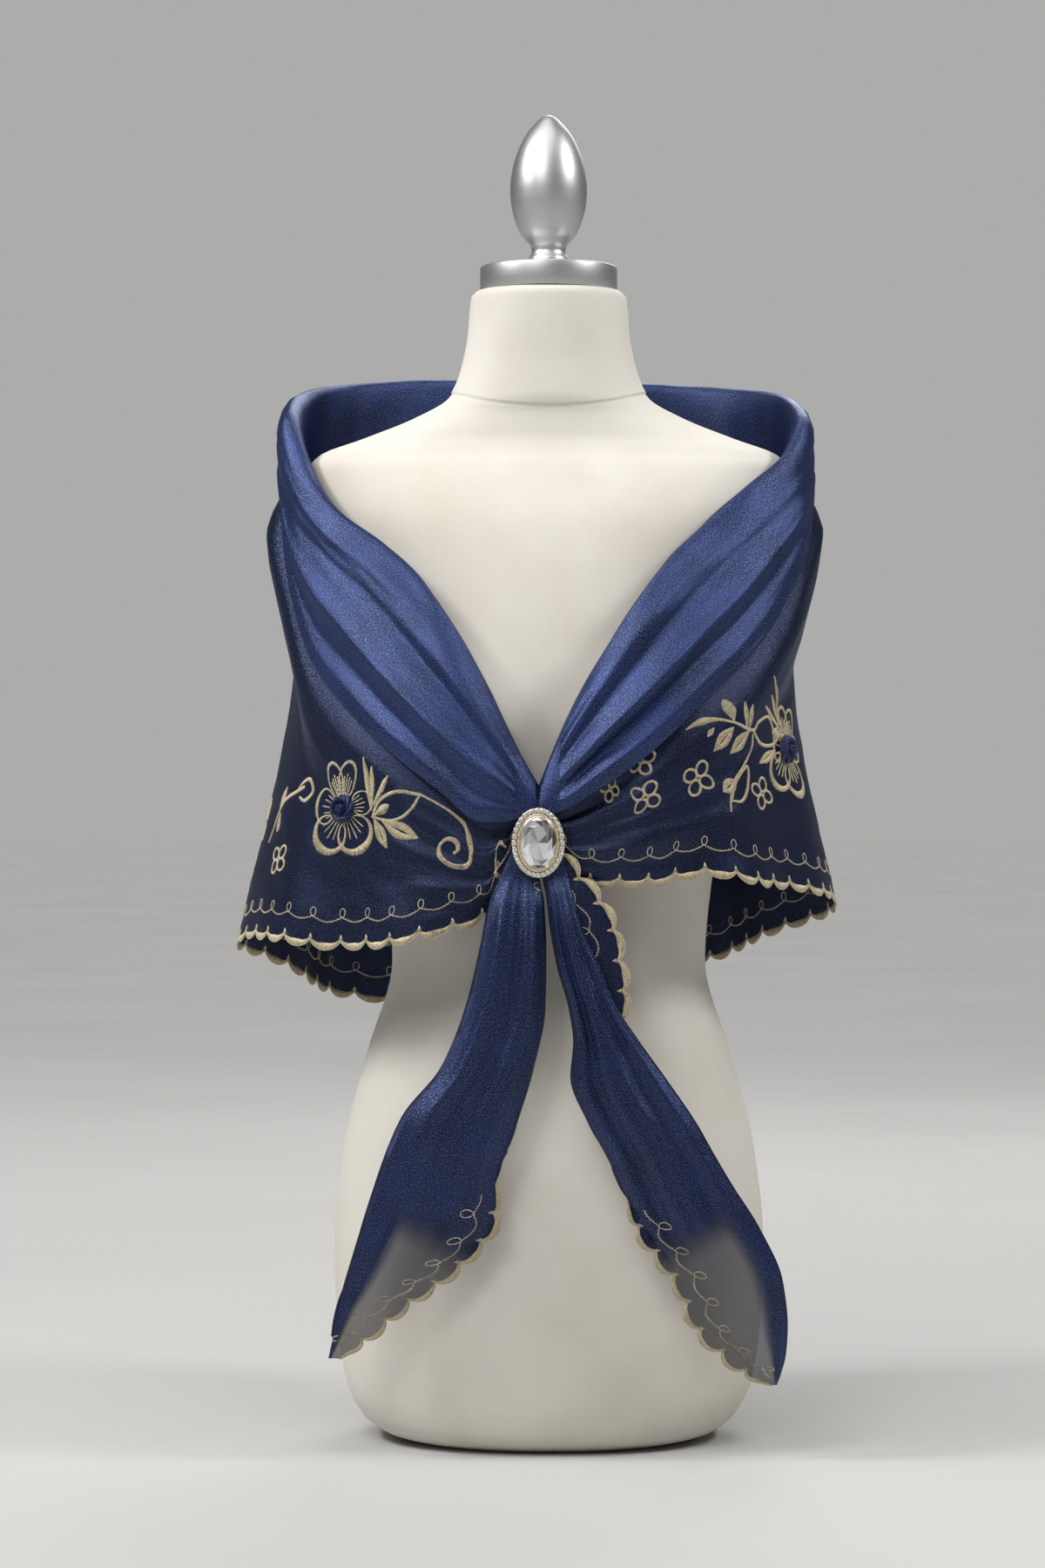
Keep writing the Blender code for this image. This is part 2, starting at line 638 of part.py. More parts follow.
@lru_cache
def stretch_columns(start, end, per_scallop):
    """The angles of a stretch's upright lines, which stand closest together in front."""
    turns = evenly_spaced(hem_point, start, end, SCALLOP_WIDTH)
    fine = []
    for a, b in zip(turns, turns[1:]):
        fine += [a + (b - a) * k / per_scallop for k in range(per_scallop)]
    fine.append(turns[-1])
    half_gap = math.degrees(SEAM_GAP / 2 / (MEET_RADIUS * MM))
    fine[0] += half_gap
    fine[-1] -= half_gap
    return tuple(fine)


def shoulder_stretch(name, start, end, per_scallop):
    """The wall of the shawl between two angles, with its scalloped hem."""
    turns = stretch_columns(start, end, per_scallop)
    bm = bmesh.new()
    rows = add_grid(bm, [shoulder_line(turn) for turn in turns])
    edge = [row[-1] for row in rows]
    outward = [(row[-1].co - row[-2].co).normalized() for row in rows]

    def depth(k):
        turn = turns[0] + (turns[-1] - turns[0]) * k / (len(turns) - 1)
        return min(1.0, min(turn - MEET_TURN, 360 + MEET_TURN - turn) / FULL_SCALLOP_TURN)

    first, last = add_scallops(bm, edge, outward, FINE_PER_SCALLOP // per_scallop, depth)
    ends = [
        (rows[0] + [first], on_polar(turns[0] + 90, 1, 0)),
        (rows[-1] + [last], on_polar(turns[-1] + 90, 1, 0)),
    ]
    return cloth(name, bm, ends)


def fold_width(apart, reach):
    """How far a soft fold stands out beside the side edge of the front layer."""
    return apart / 2 * min(1.0, reach / apart)


def turned_behind(fold_x, level, apart, reach, outward, columns):
    """Points of the cloth that is turned behind a tail's front layer, round a soft fold.
    outward is the way along X that the fold faces, and fold_x its outermost place."""
    quarter = math.pi / 4 * apart
    total = reach + 2 * quarter * min(1.0, reach / apart)
    stops = [min(quarter, total / 4), min(2 * quarter, total / 2)]
    stops += [stops[-1] + (total - stops[-1]) * (k + 1) / columns for k in range(columns)]
    start_x = fold_x - outward * fold_width(apart, reach)
    found = []
    for stop in stops:
        angle = min(math.pi, 2 * stop / apart)
        x = start_x + outward * apart / 2 * math.sin(angle)
        x -= outward * max(0.0, stop - 2 * quarter)
        y = level.front + apart / 2 * (1 - math.cos(angle))
        found.append(Vector((x, y, level.height)) * MM)
    return found


def add_turned(bm, edge, lines, closing=None):
    """Faces between a tail's side edge and the lines turned behind it, closed to one vertex.
    Returns the free edge."""
    rows = [[a] + [bm.verts.new(p) for p in line] for a, line in zip(edge, lines)]
    for a, b in zip(rows, rows[1:]):
        for j in range(len(a) - 1):
            bm.faces.new((a[j], b[j], b[j + 1], a[j + 1]))
    if closing:
        for a, b in zip(rows[-1], rows[-1][1:]):
            bm.faces.new((a, closing, b))
    return [row[-1] for row in rows]


def tail(name, levels, ridges):
    """One hanging end of the shawl: the front layer, what is turned behind it, and scallops."""
    table = Table(levels)
    top, tip = levels[0].height, levels[-1].height
    inward = 1 if levels[-1].inner > levels[-1].outer else -1

    def border_place(drop):
        level = table.read(top - drop)
        return Vector((level.inner - inward * level.border, 0, top - drop)) * MM

    drops = evenly_spaced(border_place, 0, top - tip, SCALLOP_WIDTH)
    rows = [table.read(top - drop) for drop in drops]
    last = sum(level.border > LEAST_BORDER for level in rows)
    reaches = [level.border for level in rows[: last - 1]] + [LAST_REACH]
    front_lines = []
    for i, (drop, level) in enumerate(zip(drops, rows)):
        outer = level.outer + inward * fold_width(level.apart + END_BEHIND, level.end)
        inner = level.inner
        if i < last:
            inner -= inward * fold_width(level.apart, reaches[i])
        opened = min(1.0, max(0.0, (drop - PRESSED_DROP) / OPENING_DROP))
        spread = min(1.0, abs(inner - outer) / FULL_RIDGE_WIDTH) * opened
        line = []
        for j in range(TAIL_COLUMNS + 1):
            t = j / TAIL_COLUMNS
            y = level.front - level.bow * (1 - (2 * t - 1) ** 2)
            y -= sum(r.depth * spread * bell(t - r.across, r.width) for r in ridges)
            line.append(Vector((outer + (inner - outer) * t, y, level.height)) * MM)
        front_lines.append(line)

    bm = bmesh.new()
    front = add_grid(bm, front_lines)
    inner_edge = [row[-1] for row in front]
    lines = [
        turned_behind(level.inner, level, level.apart, reach, inward, BORDER_COLUMNS)
        for level, reach in zip(rows, reaches)
    ]
    border = add_turned(bm, inner_edge, lines, inner_edge[last])
    if levels[0].end:
        lines = [
            turned_behind(
                level.outer, level, level.apart + END_BEHIND, level.end, -inward, END_COLUMNS
            )
            for level in rows[:-2]
        ]
        outer_edge = [row[0] for row in front]
        add_turned(bm, outer_edge, lines, outer_edge[-2])

    for edge, away in ((border, -inward), (inner_edge[last:], inward)):
        outward = []
        for i in range(len(edge)):
            along = edge[min(i + 1, len(edge) - 1)].co - edge[max(i - 1, 0)].co
            way = Vector((-along.z, 0, along.x)).normalized()
            outward.append(way if way.x * away > 0 else -way)

        def depth(k, spans=len(edge) - 1):
            return min(1.0, k, spans - k)

        add_scallops(bm, edge, outward, FINE_PER_SCALLOP, depth)
    return cloth(name, bm)


def line_point(line, above_hem):
    """The point of a cut that is so far up from the hem, along the cloth."""
    left = above_hem * MM
    for low, high in zip(line[::-1], line[-2::-1]):
        span = (high - low).length
        if left <= span:
            return low.lerp(high, left / span)
        left -= span
    return line[0]


def cloth_point(turn, above_hem):
    """The point of the shawl's middle surface at an angle, so far up from the hem. It lies
    between the same upright lines as the wall's own faces."""
    for start, end, per_scallop in STRETCHES.values():
        if start <= turn <= end:
            columns = stretch_columns(start, end, per_scallop)
            break
    k = 0
    while k < len(columns) - 2 and turn > columns[k + 1]:
        k += 1
    a, b = columns[k], columns[k + 1]
    left, right = (line_point(shoulder_line(t), above_hem) for t in (a, b))
    return left.lerp(right, (turn - a) / (b - a))


def rosette(name, turn, above_hem):
    """A gathered fabric flower whose every point is a point of the cloth, moved out."""
    centre = cloth_point(turn, above_hem)
    radius = math.hypot(centre.x, centre.y)
    degree = radius * math.radians(1) / MM
    beside = cloth_point(turn + 3, above_hem) - cloth_point(turn - 3, above_hem)
    above = cloth_point(turn, above_hem + 10) - cloth_point(turn, above_hem - 10)
    out = above.cross(beside).normalized()
    if out.x * centre.x + out.y * centre.y < 0:
        out = -out
    sides = 4 * ROSETTE_PETALS
    rings = []
    for row in ROSETTE_ROWS:
        ring = []
        for i in range(sides):
            angle = 2 * math.pi * (i - row.twist * 4) / sides
            parted = abs(math.cos(ROSETTE_PETALS * (2 * math.pi * i / sides) / 2))
            reach = ROSETTE_RADIUS * row.reach * (1 - row.notch * parted**3)
            foot = cloth_point(
                turn - reach * math.cos(angle) / degree, above_hem + reach * math.sin(angle)
            )
            ring.append(foot + out * (CLOTH / 2 + SEAT + row.height * MM))
        rings.append(ring)
    loft(name, rings, "navy satin ribbon")


def facing_front(points):
    """Points given across, up and out from the brooch's back, at their place."""
    x, y, z = BROOCH_CENTRE
    return [Vector((x + across, y - out, z + up)) * MM for across, up, out in points]


def oval(inset, out, sides):
    """A level ring on the brooch, parallel to its edge."""
    half_width, half_height = BROOCH_HALF_WIDTH - inset, BROOCH_HALF_HEIGHT - inset
    angles = [2 * math.pi * i / sides for i in range(sides)]
    return [(half_width * math.cos(a), half_height * math.sin(a), out) for a in angles]


def brooch():
    """The setting, with a cup for each stone of its ring, and the large cut stone."""
    rings = []
    for inset, out, cupped in SETTING_RINGS:
        ring = oval(inset, out, 2 * RING_STONES)
        ring = [(a, u, o - cupped * (i % 2)) for i, (a, u, o) in enumerate(ring)]
        rings.append(facing_front(ring))
    loft("brooch_setting", rings, "pale gold plate")
    rings = [facing_front(oval(inset, out, STONE_SIDES)) for inset, out in STONE_RINGS]
    loft("brooch_stone", rings, "clear crystal", smooth=False)


def main():
    for old in list(bpy.data.objects):
        bpy.data.objects.remove(old)
    dress_form()
    for name, stretch in STRETCHES.items():
        shoulder_stretch(name, *stretch)
    tail("tail_left", LEFT_TAIL, LEFT_RIDGES)
    tail("tail_right", RIGHT_TAIL, RIGHT_RIDGES)
    for row in ROSETTES:
        rosette(*row)
    brooch()


main()
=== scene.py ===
"""The looks of an embroidered organza shawl on a limbless dress form.

Everything is in metres in the frame of the CAD model: +Z up, the wearer's front
faces -Y, and the origin is the middle of the form's flat underside. Tables are in
millimetres and degrees, with named columns. The shawl is one long strip of sheer
cloth with a scalloped, satin-stitched edge. Its middle stands round the neck and
hangs over the shoulders, and its two ends pass under an oval brooch and hang down.
"""

import logging
import math
from bisect import bisect_right
from collections.abc import Callable, Sequence
from dataclasses import dataclass, field
from enum import Enum
from typing import NamedTuple

import bmesh
import bpy
from mathutils import Matrix, Vector, noise


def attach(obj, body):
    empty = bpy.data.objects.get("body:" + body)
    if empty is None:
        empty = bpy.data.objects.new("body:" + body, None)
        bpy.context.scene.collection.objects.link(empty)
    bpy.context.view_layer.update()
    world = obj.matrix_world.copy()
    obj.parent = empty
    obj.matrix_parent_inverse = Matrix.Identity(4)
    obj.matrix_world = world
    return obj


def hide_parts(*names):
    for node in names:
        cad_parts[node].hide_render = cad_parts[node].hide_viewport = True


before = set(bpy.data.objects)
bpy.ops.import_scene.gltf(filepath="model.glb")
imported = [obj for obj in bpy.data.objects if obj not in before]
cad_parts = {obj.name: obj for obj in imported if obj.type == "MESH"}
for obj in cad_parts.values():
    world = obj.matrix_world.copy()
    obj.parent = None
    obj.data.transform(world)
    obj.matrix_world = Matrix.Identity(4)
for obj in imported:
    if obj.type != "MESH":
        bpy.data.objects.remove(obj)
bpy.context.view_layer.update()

log = logging.getLogger("shawl")

MM = 0.001
BODY = "root"
WAVE_PITCH = math.pi / 10  # the pitch of the wave texture's bands at a scale of 1
TAIL_LOOPS = 1.45  # how much larger the loops are on the tails

Flat = tuple[float, float]


def linear(hex_colour: str) -> tuple[float, float, float, float]:
    """Turn an sRGB hex colour into Blender's linear colour.

    Args:
        hex_colour: Six hex digits, such as "1b2c55".

    Returns:
        Red, green, blue and a full alpha.
    """
    parts = [int(hex_colour[i : i + 2], 16) / 255 for i in (0, 2, 4)]
    red, green, blue = (c / 12.92 if c <= 0.04045 else ((c + 0.055) / 1.055) ** 2.4 for c in parts)
    return red, green, blue, 1.0


def add_node(
    tree: bpy.types.NodeTree, kind: str, inputs: dict | None = None, **settings: object
) -> bpy.types.Node:
    """Add a node with its settings, and set or link its inputs.

    Args:
        tree: The tree that gets the node.
        kind: The node's type name.
        inputs: A value, or an output to link from, for each input by name or place.
        settings: The node's own properties.

    Returns:
        The new node.
    """
    node = tree.nodes.new(kind)
    for name, value in settings.items():
        setattr(node, name, value)
    for name, value in (inputs or {}).items():
        if isinstance(value, bpy.types.NodeSocket):
            tree.links.new(value, node.inputs[name])
        else:
            node.inputs[name].default_value = value
    return node


def slopes(at: Sequence[float], values: Sequence[float]) -> list[float]:
    """Find slopes for a smooth curve through values that never overshoots them.

    Args:
        at: The places of the values, in rising order.
        values: The values there.

    Returns:
        One slope for each value.
    """
    steps = [(b - a) / (q - p) for a, b, p, q in zip(values, values[1:], at, at[1:])]
    found = [steps[0]]
    for left, right in zip(steps, steps[1:]):
        found.append(2 * left * right / (left + right) if left * right > 0 else 0.0)
    return found + [steps[-1]]


class Table:
    """Rows with named columns, read smoothly between the rows by their first column."""

    def __init__(self, rows: Sequence[tuple]) -> None:
        """Sort the rows and find each column's slopes.

        Args:
            rows: Rows of one kind, in any order.
        """
        self.kind = type(rows[0])
        self.rows = sorted(rows)
        self.at = [row[0] for row in self.rows]
        self.columns = [(column, slopes(self.at, column)) for column in zip(*self.rows)]

    def read(self, at: float) -> tuple:
        """Read every column at one place.

        Args:
            at: A place on the first column's scale. It is kept within the table.

        Returns:
            A row of the table's own kind.
        """
        at = min(max(at, self.at[0]), self.at[-1])
        i = min(bisect_right(self.at, at) - 1, len(self.at) - 2)
        width = self.at[i + 1] - self.at[i]
        t = (at - self.at[i]) / width
        start, end = (1 + 2 * t) * (1 - t) ** 2, t * t * (3 - 2 * t)
        leave, arrive = t * (1 - t) ** 2 * width, t * t * (t - 1) * width
        return self.kind(
            *(start * v[i] + end * v[i + 1] + leave * m[i] + arrive * m[i + 1] for v, m in self.columns)
        )


def curve_through(points: Sequence[Vector], steps: Sequence[int]) -> list[Vector]:
    """Run a smooth curve through points.

    Args:
        points: The points that the curve passes.
        steps: How many spans each stretch between two points gets.

    Returns:
        Points along the curve, the given ones among them.
    """
    spans = [max((b - a).length, 1e-6) for a, b in zip(points, points[1:])]
    tangents = []
    for k in range(len(points)):
        before, after = max(k - 1, 0), min(k + 1, len(points) - 1)
        tangents.append((points[after] - points[before]) / sum(spans[before:after]))
    found = [points[0]]
    for k, count in enumerate(steps):
        for step in range(1, count + 1):
            t = step / count
            found.append(
                points[k] * (1 + 2 * t) * (1 - t) ** 2
                + points[k + 1] * t * t * (3 - 2 * t)
                + tangents[k] * spans[k] * t * (1 - t) ** 2
                + tangents[k + 1] * spans[k] * t * t * (t - 1)
            )
    return found


def bell(distance: float, width: float) -> float:
    """Return 1 at distance 0, fading smoothly to nothing past twice the width."""
    return math.exp(-((distance / width) ** 2))


def smooth(low: float, high: float, at: float) -> float:
    """Return a soft step from 0 at low to 1 at high, which may be the smaller one."""
    t = min(1.0, max(0.0, (at - low) / (high - low)))
    return t * t * (3 - 2 * t)


def circle(sides: int, turned: float = 0.0) -> list[Flat]:
    """Find the cosines and sines of evenly spaced angles.

    Args:
        sides: The number of angles.
        turned: The share of a side by which they are turned.

    Returns:
        A cosine and a sine for each angle.
    """
    angles = [2 * math.pi * (i + turned) / sides for i in range(sides)]
    return [(math.cos(angle), math.sin(angle)) for angle in angles]


def heading(degrees: float) -> Vector:
    """Return the flat way of length 1 at an angle."""
    return Vector((math.cos(math.radians(degrees)), math.sin(math.radians(degrees))))


def beside(way: Vector) -> Vector:
    """Return the flat way a quarter turn to the left of another."""
    return Vector((-way.y, way.x))


def lengths_along(points: Sequence[Vector], unit: float = 1.0) -> list[float]:
    """Measure how far along a line each of its points lies.

    Args:
        points: The line's points.
        unit: The unit of the lengths, in metres.

    Returns:
        A length for each point, 0 at the first.
    """
    along = [0.0]
    for a, b in zip(points, points[1:]):
        along.append(along[-1] + (b - a).length / unit)
    return along


def evenly_spaced(
    place: Callable[[float], Vector], start: float, end: float, width: float
) -> list[float]:
    """Divide a path into equal lengths.

    Args:
        place: Gives the point of the path at a parameter.
        start: The first parameter.
        end: The last parameter.
        width: The length that each piece should have, in metres.

    Returns:
        The parameters between the pieces, start and end among them.
    """
    count = 1500
    at = [start + (end - start) * i / count for i in range(count + 1)]
    along = lengths_along([place(t) for t in at])
    pieces = max(1, round(along[-1] / width))
    found = []
    for n in range(pieces + 1):
        goal = along[-1] * n / pieces
        i = min(bisect_right(along, goal) - 1, count - 1)
        share = (goal - along[i]) / (along[i + 1] - along[i])
        found.append(at[i] + share * (at[i + 1] - at[i]))
    return found


def new_object(name: str, mesh: bpy.types.Mesh, material: bpy.types.Material) -> bpy.types.Object:
    """Put a mesh into the scene under a name, with one material.

    Args:
        name: The object's name.
        mesh: Its mesh.
        material: What it is made of.

    Returns:
        The object.
    """
    made = bpy.data.objects.new(name, mesh)
    mesh.materials.clear()
    mesh.materials.append(material)
    bpy.context.scene.collection.objects.link(made)
    return made


def applied(source: bpy.types.Object) -> bpy.types.Mesh:
    """Turn what an object's modifiers make into a plain mesh, and take the modifiers off.

    Args:
        source: The object, which keeps no modifier.

    Returns:
        The plain mesh.
    """
    graph = bpy.context.evaluated_depsgraph_get()
    mesh = bpy.data.meshes.new_from_object(source.evaluated_get(graph))
    source.modifiers.clear()
    return mesh


def dress(piece: bpy.types.Object, slot: str, *nodes: str) -> bpy.types.Object:
    """Ride a finished piece on the model, and hide the CAD nodes that it replaces.

    Args:
        piece: The piece.
        slot: The name of its finish's slot, which is not used.
        nodes: The CAD nodes that it replaces.

    Returns:
        The piece.
    """
    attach(piece, BODY)
    if nodes:
        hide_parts(*nodes)
    log.info("%s: %d faces", piece.name, len(piece.data.polygons))
    return piece


def face_outwards(mesh: bpy.types.Mesh, merge_mm: float = 0.0) -> None:
    """Turn a mesh's faces outwards, after its doubles are merged.

    Args:
        mesh: The mesh.
        merge_mm: How close two points are that become one, or 0 to merge none.
    """
    shape = bmesh.new()
    shape.from_mesh(mesh)
    if merge_mm:
        bmesh.ops.remove_doubles(shape, verts=shape.verts[:], dist=merge_mm * MM)
    bmesh.ops.recalc_face_normals(shape, faces=shape.faces[:])
    shape.to_mesh(mesh)
    shape.free()


def lofted(
    name: str, rings: Sequence[Sequence[Vector]], material: bpy.types.Material, sharp: float
) -> bpy.types.Object:
    """Close a solid through rings of points.

    Args:
        name: The piece's name.
        rings: Rings of equally many points, lowest first, each anticlockwise from above.
        material: What the piece is made of.
        sharp: The angle in degrees past which an edge is sharp.

    Returns:
        The piece.
    """
    count = len(rings[0])
    faces = [tuple(range(count))[::-1], tuple(range((len(rings) - 1) * count, len(rings) * count))]
    for r in range(len(rings) - 1):
        low, high = r * count, (r + 1) * count
        faces += [(low + i, low + (i + 1) % count, high + (i + 1) % count, high + i) for i in range(count)]
    mesh = bpy.data.meshes.new(name)
    mesh.from_pydata([p for ring in rings for p in ring], [], faces)
    mesh.shade_smooth()
    mesh.set_sharp_from_angle(angle=math.radians(sharp))
    return new_object(name, mesh, material)


@dataclass(frozen=True)
class Finish:
    """A material's common values, as typical for the real one."""

    name: str
    colour: str
    roughness: float
    metallic: float = 0.0
    sheen: float = 0.0
    sheen_tint: str = "ffffff"
    alpha: float = 1.0
    coat: float = 0.0

    def material(self) -> bpy.types.Material:
        """Make the material, or find it where it has been made.

        Returns:
            The material.
        """
        found = bpy.data.materials.get(self.name)
        if found:
            return found
        made = bpy.data.materials.new(self.name)
        made.use_nodes = True
        shader = made.node_tree.nodes["Principled BSDF"]
        values = {
            "Base Color": linear(self.colour), "Roughness": self.roughness, "Metallic": self.metallic,
            "Sheen Weight": self.sheen, "Sheen Tint": linear(self.sheen_tint), "Alpha": self.alpha,
            "Coat Weight": self.coat,
        }
        for name, value in values.items():
            shader.inputs[name].default_value = value
        self.add_detail(made.node_tree, shader)
        return made

    def add_detail(self, tree: bpy.types.NodeTree, shader: bpy.types.Node) -> None:
        """Add what the plain values leave out. A plain finish adds nothing.

        Args:
            tree: The material's tree.
            shader: Its shader.
        """

    def mottle(
        self, tree: bpy.types.NodeTree, size_mm: float, shade: str, low: float, high: float
    ) -> bpy.types.NodeSocket:
        """Blend the finish's colour with another by a soft noise.

        Args:
            tree: The material's tree.
            size_mm: How wide a patch is.
            shade: The other colour, as sRGB hex.
            low: The noise value that gives the finish's colour.
            high: The noise value that gives the other colour.

        Returns:
            The blended colour.
        """
        place = add_node(tree, "ShaderNodeTexCoord")
        cloud = add_node(
            tree, "ShaderNodeTexNoise",
            {"Vector": place.outputs["Object"], "Scale": 1 / (size_mm * MM), "Detail": 3.0},
        )
        share = add_node(
            tree, "ShaderNodeMapRange",
            {"Value": cloud.outputs["Fac"], "From Min": low, "From Max": high},
        )
        mixed = add_node(
            tree, "ShaderNodeMix",
            {0: share.outputs[0], 6: linear(self.colour), 7: linear(shade)}, data_type="RGBA",
        )
        return mixed.outputs[2]

    def grain(
        self,
        tree: bpy.types.NodeTree,
        shader: bpy.types.Node,
        size_mm: float,
        strength: float,
        depth_mm: float,
    ) -> None:
        """Raise a fine, even grain all over.

        Args:
            tree: The material's tree.
            shader: Its shader.
            size_mm: How wide a grain is.
            strength: How strong the relief is, from 0 to 1.
            depth_mm: How deep it is.
        """
        place = add_node(tree, "ShaderNodeTexCoord")
        grains = add_node(
            tree, "ShaderNodeTexNoise",
            {"Vector": place.outputs["Object"], "Scale": 1 / (size_mm * MM), "Detail": 2.0},
        )
        relief = add_node(
            tree, "ShaderNodeBump",
            {"Height": grains.outputs["Fac"], "Strength": strength, "Distance": depth_mm * MM},
        )
        tree.links.new(relief.outputs[0], shader.inputs["Normal"])


@dataclass(frozen=True)
class Organza(Finish):
    """Nylon organza: fine, springy, sheer yarns that glint along every ridge.

    The real yarns lie about 0.2 mm apart and are drawn 0.8 mm apart, and their flecks
    1.2 mm wide, as coarse as they need to be to show. The grid reads as a weave from
    close by. The flecks are painted paler as painted glints and turn metallic, so that they
    also really reflect the lamps along the ridges, while what lies in shade stays deep.
    Two layers are painted lighter as painted light, and one layer darker as painted shade,
    with fewer painted glints; a layer on its own can be seen through.
    """

    # The colour of two layers, painted lighter as painted light; the finish's own colour, for one layer
    # alone, is painted darker as painted shade.
    doubled: str = "13204a"
    # The paler colour that the flecks are painted towards, as painted glints; the metallic they raise also
    # makes them really reflect.
    glint: str = "9db0e6"
    painted_glint_share: float = 0.6
    single_painted_glint: float = 0.4
    yarn_mm: float = 0.8
    fleck_mm: float = 1.2
    cloud_mm: float = 42.0
    sheer_alpha: float = 0.52
    mirror_tint: str = "b4c4f4"
    bend: float = 1.6

    def add_detail(self, tree: bpy.types.NodeTree, shader: bpy.types.Node) -> None:
        """Add the yarns' relief, the painted glints on the flecks and their metallic shine, the painted light
        and shade of two layers and one, and the sheer places.

        Args:
            tree: The material's tree.
            shader: Its shader.
        """
        shader.inputs["Specular Tint"].default_value = linear(self.mirror_tint)
        shader.inputs["IOR"].default_value = self.bend
        where = add_node(tree, "ShaderNodeUVMap", uv_map="cloth").outputs["UV"]
        pitch = {"Vector": where, "Scale": WAVE_PITCH / (self.yarn_mm * MM), "Distortion": 0.6}
        warp = add_node(tree, "ShaderNodeTexWave", pitch, bands_direction="X")
        weft = add_node(tree, "ShaderNodeTexWave", pitch, bands_direction="Y")
        grid = add_node(
            tree, "ShaderNodeMath", {0: warp.outputs["Fac"], 1: weft.outputs["Fac"]}, operation="ADD"
        )
        flecks = add_node(
            tree, "ShaderNodeTexNoise",
            {"Vector": where, "Scale": 1 / (self.fleck_mm * MM), "Detail": 3.0, "Roughness": 0.8},
        )
        height = add_node(
            tree, "ShaderNodeMath",
            {0: flecks.outputs["Fac"], 1: 5.0, 2: grid.outputs[0]}, operation="MULTIPLY_ADD",
        )
        relief = add_node(
            tree, "ShaderNodeBump", {"Height": height.outputs[0], "Strength": 0.42, "Distance": 0.12 * MM}
        )
        tree.links.new(relief.outputs[0], shader.inputs["Normal"])
        # Painted light and shade: the cloth is painted lighter where it is doubled and darker where one layer
        # hangs alone below the roll.
        layers = add_node(tree, "ShaderNodeAttribute", attribute_name="doubled")
        tone = add_node(
            tree, "ShaderNodeMix",
            {0: layers.outputs["Fac"], 6: linear(self.colour), 7: linear(self.doubled)}, data_type="RGBA",
        )
        cloud = add_node(
            tree, "ShaderNodeTexNoise", {"Vector": where, "Scale": 1 / (self.cloud_mm * MM), "Detail": 3.0}
        )
        depth = add_node(
            tree, "ShaderNodeMapRange",
            {"Value": cloud.outputs["Fac"], "From Min": 0.3, "From Max": 0.7, "To Min": 0.6, "To Max": 1.4},
        )
        clouded = add_node(
            tree, "ShaderNodeVectorMath", {0: tone.outputs[2], "Scale": depth.outputs[0]}, operation="SCALE"
        )
        # Painted glints: the brightest flecks are painted paler and turned metallic, and where one layer lies
        # alone fewer of them are painted, as painted shade.
        bright = add_node(
            tree, "ShaderNodeMapRange",
            {"Value": flecks.outputs["Fac"], "From Min": 0.5, "From Max": 0.78},
        )
        dense = add_node(
            tree, "ShaderNodeMapRange",
            {"Value": layers.outputs["Fac"], "To Min": self.single_painted_glint, "To Max": 1.0},
        )
        glints = add_node(
            tree, "ShaderNodeMath", {0: bright.outputs[0], 1: dense.outputs[0]}, operation="MULTIPLY"
        )
        shine = add_node(
            tree, "ShaderNodeMapRange", {"Value": glints.outputs[0], "To Min": self.metallic, "To Max": 1.0}
        )
        tree.links.new(shine.outputs[0], shader.inputs["Metallic"])
        # The share of painted glint mixed into the base colour.
        pale = add_node(
            tree, "ShaderNodeMath", {0: glints.outputs[0], 1: self.painted_glint_share}, operation="MULTIPLY"
        )
        painted_glinting = add_node(
            tree, "ShaderNodeMix",
            {0: pale.outputs[0], 6: clouded.outputs[0], 7: linear(self.glint)}, data_type="RGBA",
        )
        tree.links.new(painted_glinting.outputs[2], shader.inputs["Base Color"])
        sheer = add_node(tree, "ShaderNodeAttribute", attribute_name="sheer")
        share = add_node(
            tree, "ShaderNodeMapRange",
            {"Value": sheer.outputs["Fac"], "To Min": self.alpha, "To Max": self.sheer_alpha},
        )
        tree.links.new(share.outputs[0], shader.inputs["Alpha"])


@dataclass(frozen=True)
class Thread(Finish):
    """Rayon embroidery thread: tightly laid, with a silky shine across the stitches."""

    shade: str = "7a6a4e"
    patch_mm: float = 1.6
    grain_mm: float = 0.5

    def add_detail(self, tree: bpy.types.NodeTree, shader: bpy.types.Node) -> None:
        """Vary the tone from stitch to stitch, and add the twist's fine grain.

        Args:
            tree: The material's tree.
            shader: Its shader.
        """
        tone = self.mottle(tree, self.patch_mm, self.shade, 0.44, 0.82)
        tree.links.new(tone, shader.inputs["Base Color"])
        self.grain(tree, shader, self.grain_mm, 0.3, 0.2)


@dataclass(frozen=True)
class Ribbon(Finish):
    """Folded satin ribbon: smooth and deep, with a soft shine on each fold."""

    lit: str = "22346a"
    patch_mm: float = 5.0
    grain_mm: float = 0.7

    def add_detail(self, tree: bpy.types.NodeTree, shader: bpy.types.Node) -> None:
        """Add the satin's fine grain.

        Args:
            tree: The material's tree.
            shader: Its shader.
        """
        self.grain(tree, shader, self.grain_mm, 0.35, 0.25)
        tone = self.mottle(tree, self.patch_mm, self.lit, 0.4, 0.9)
        tree.links.new(tone, shader.inputs["Base Color"])


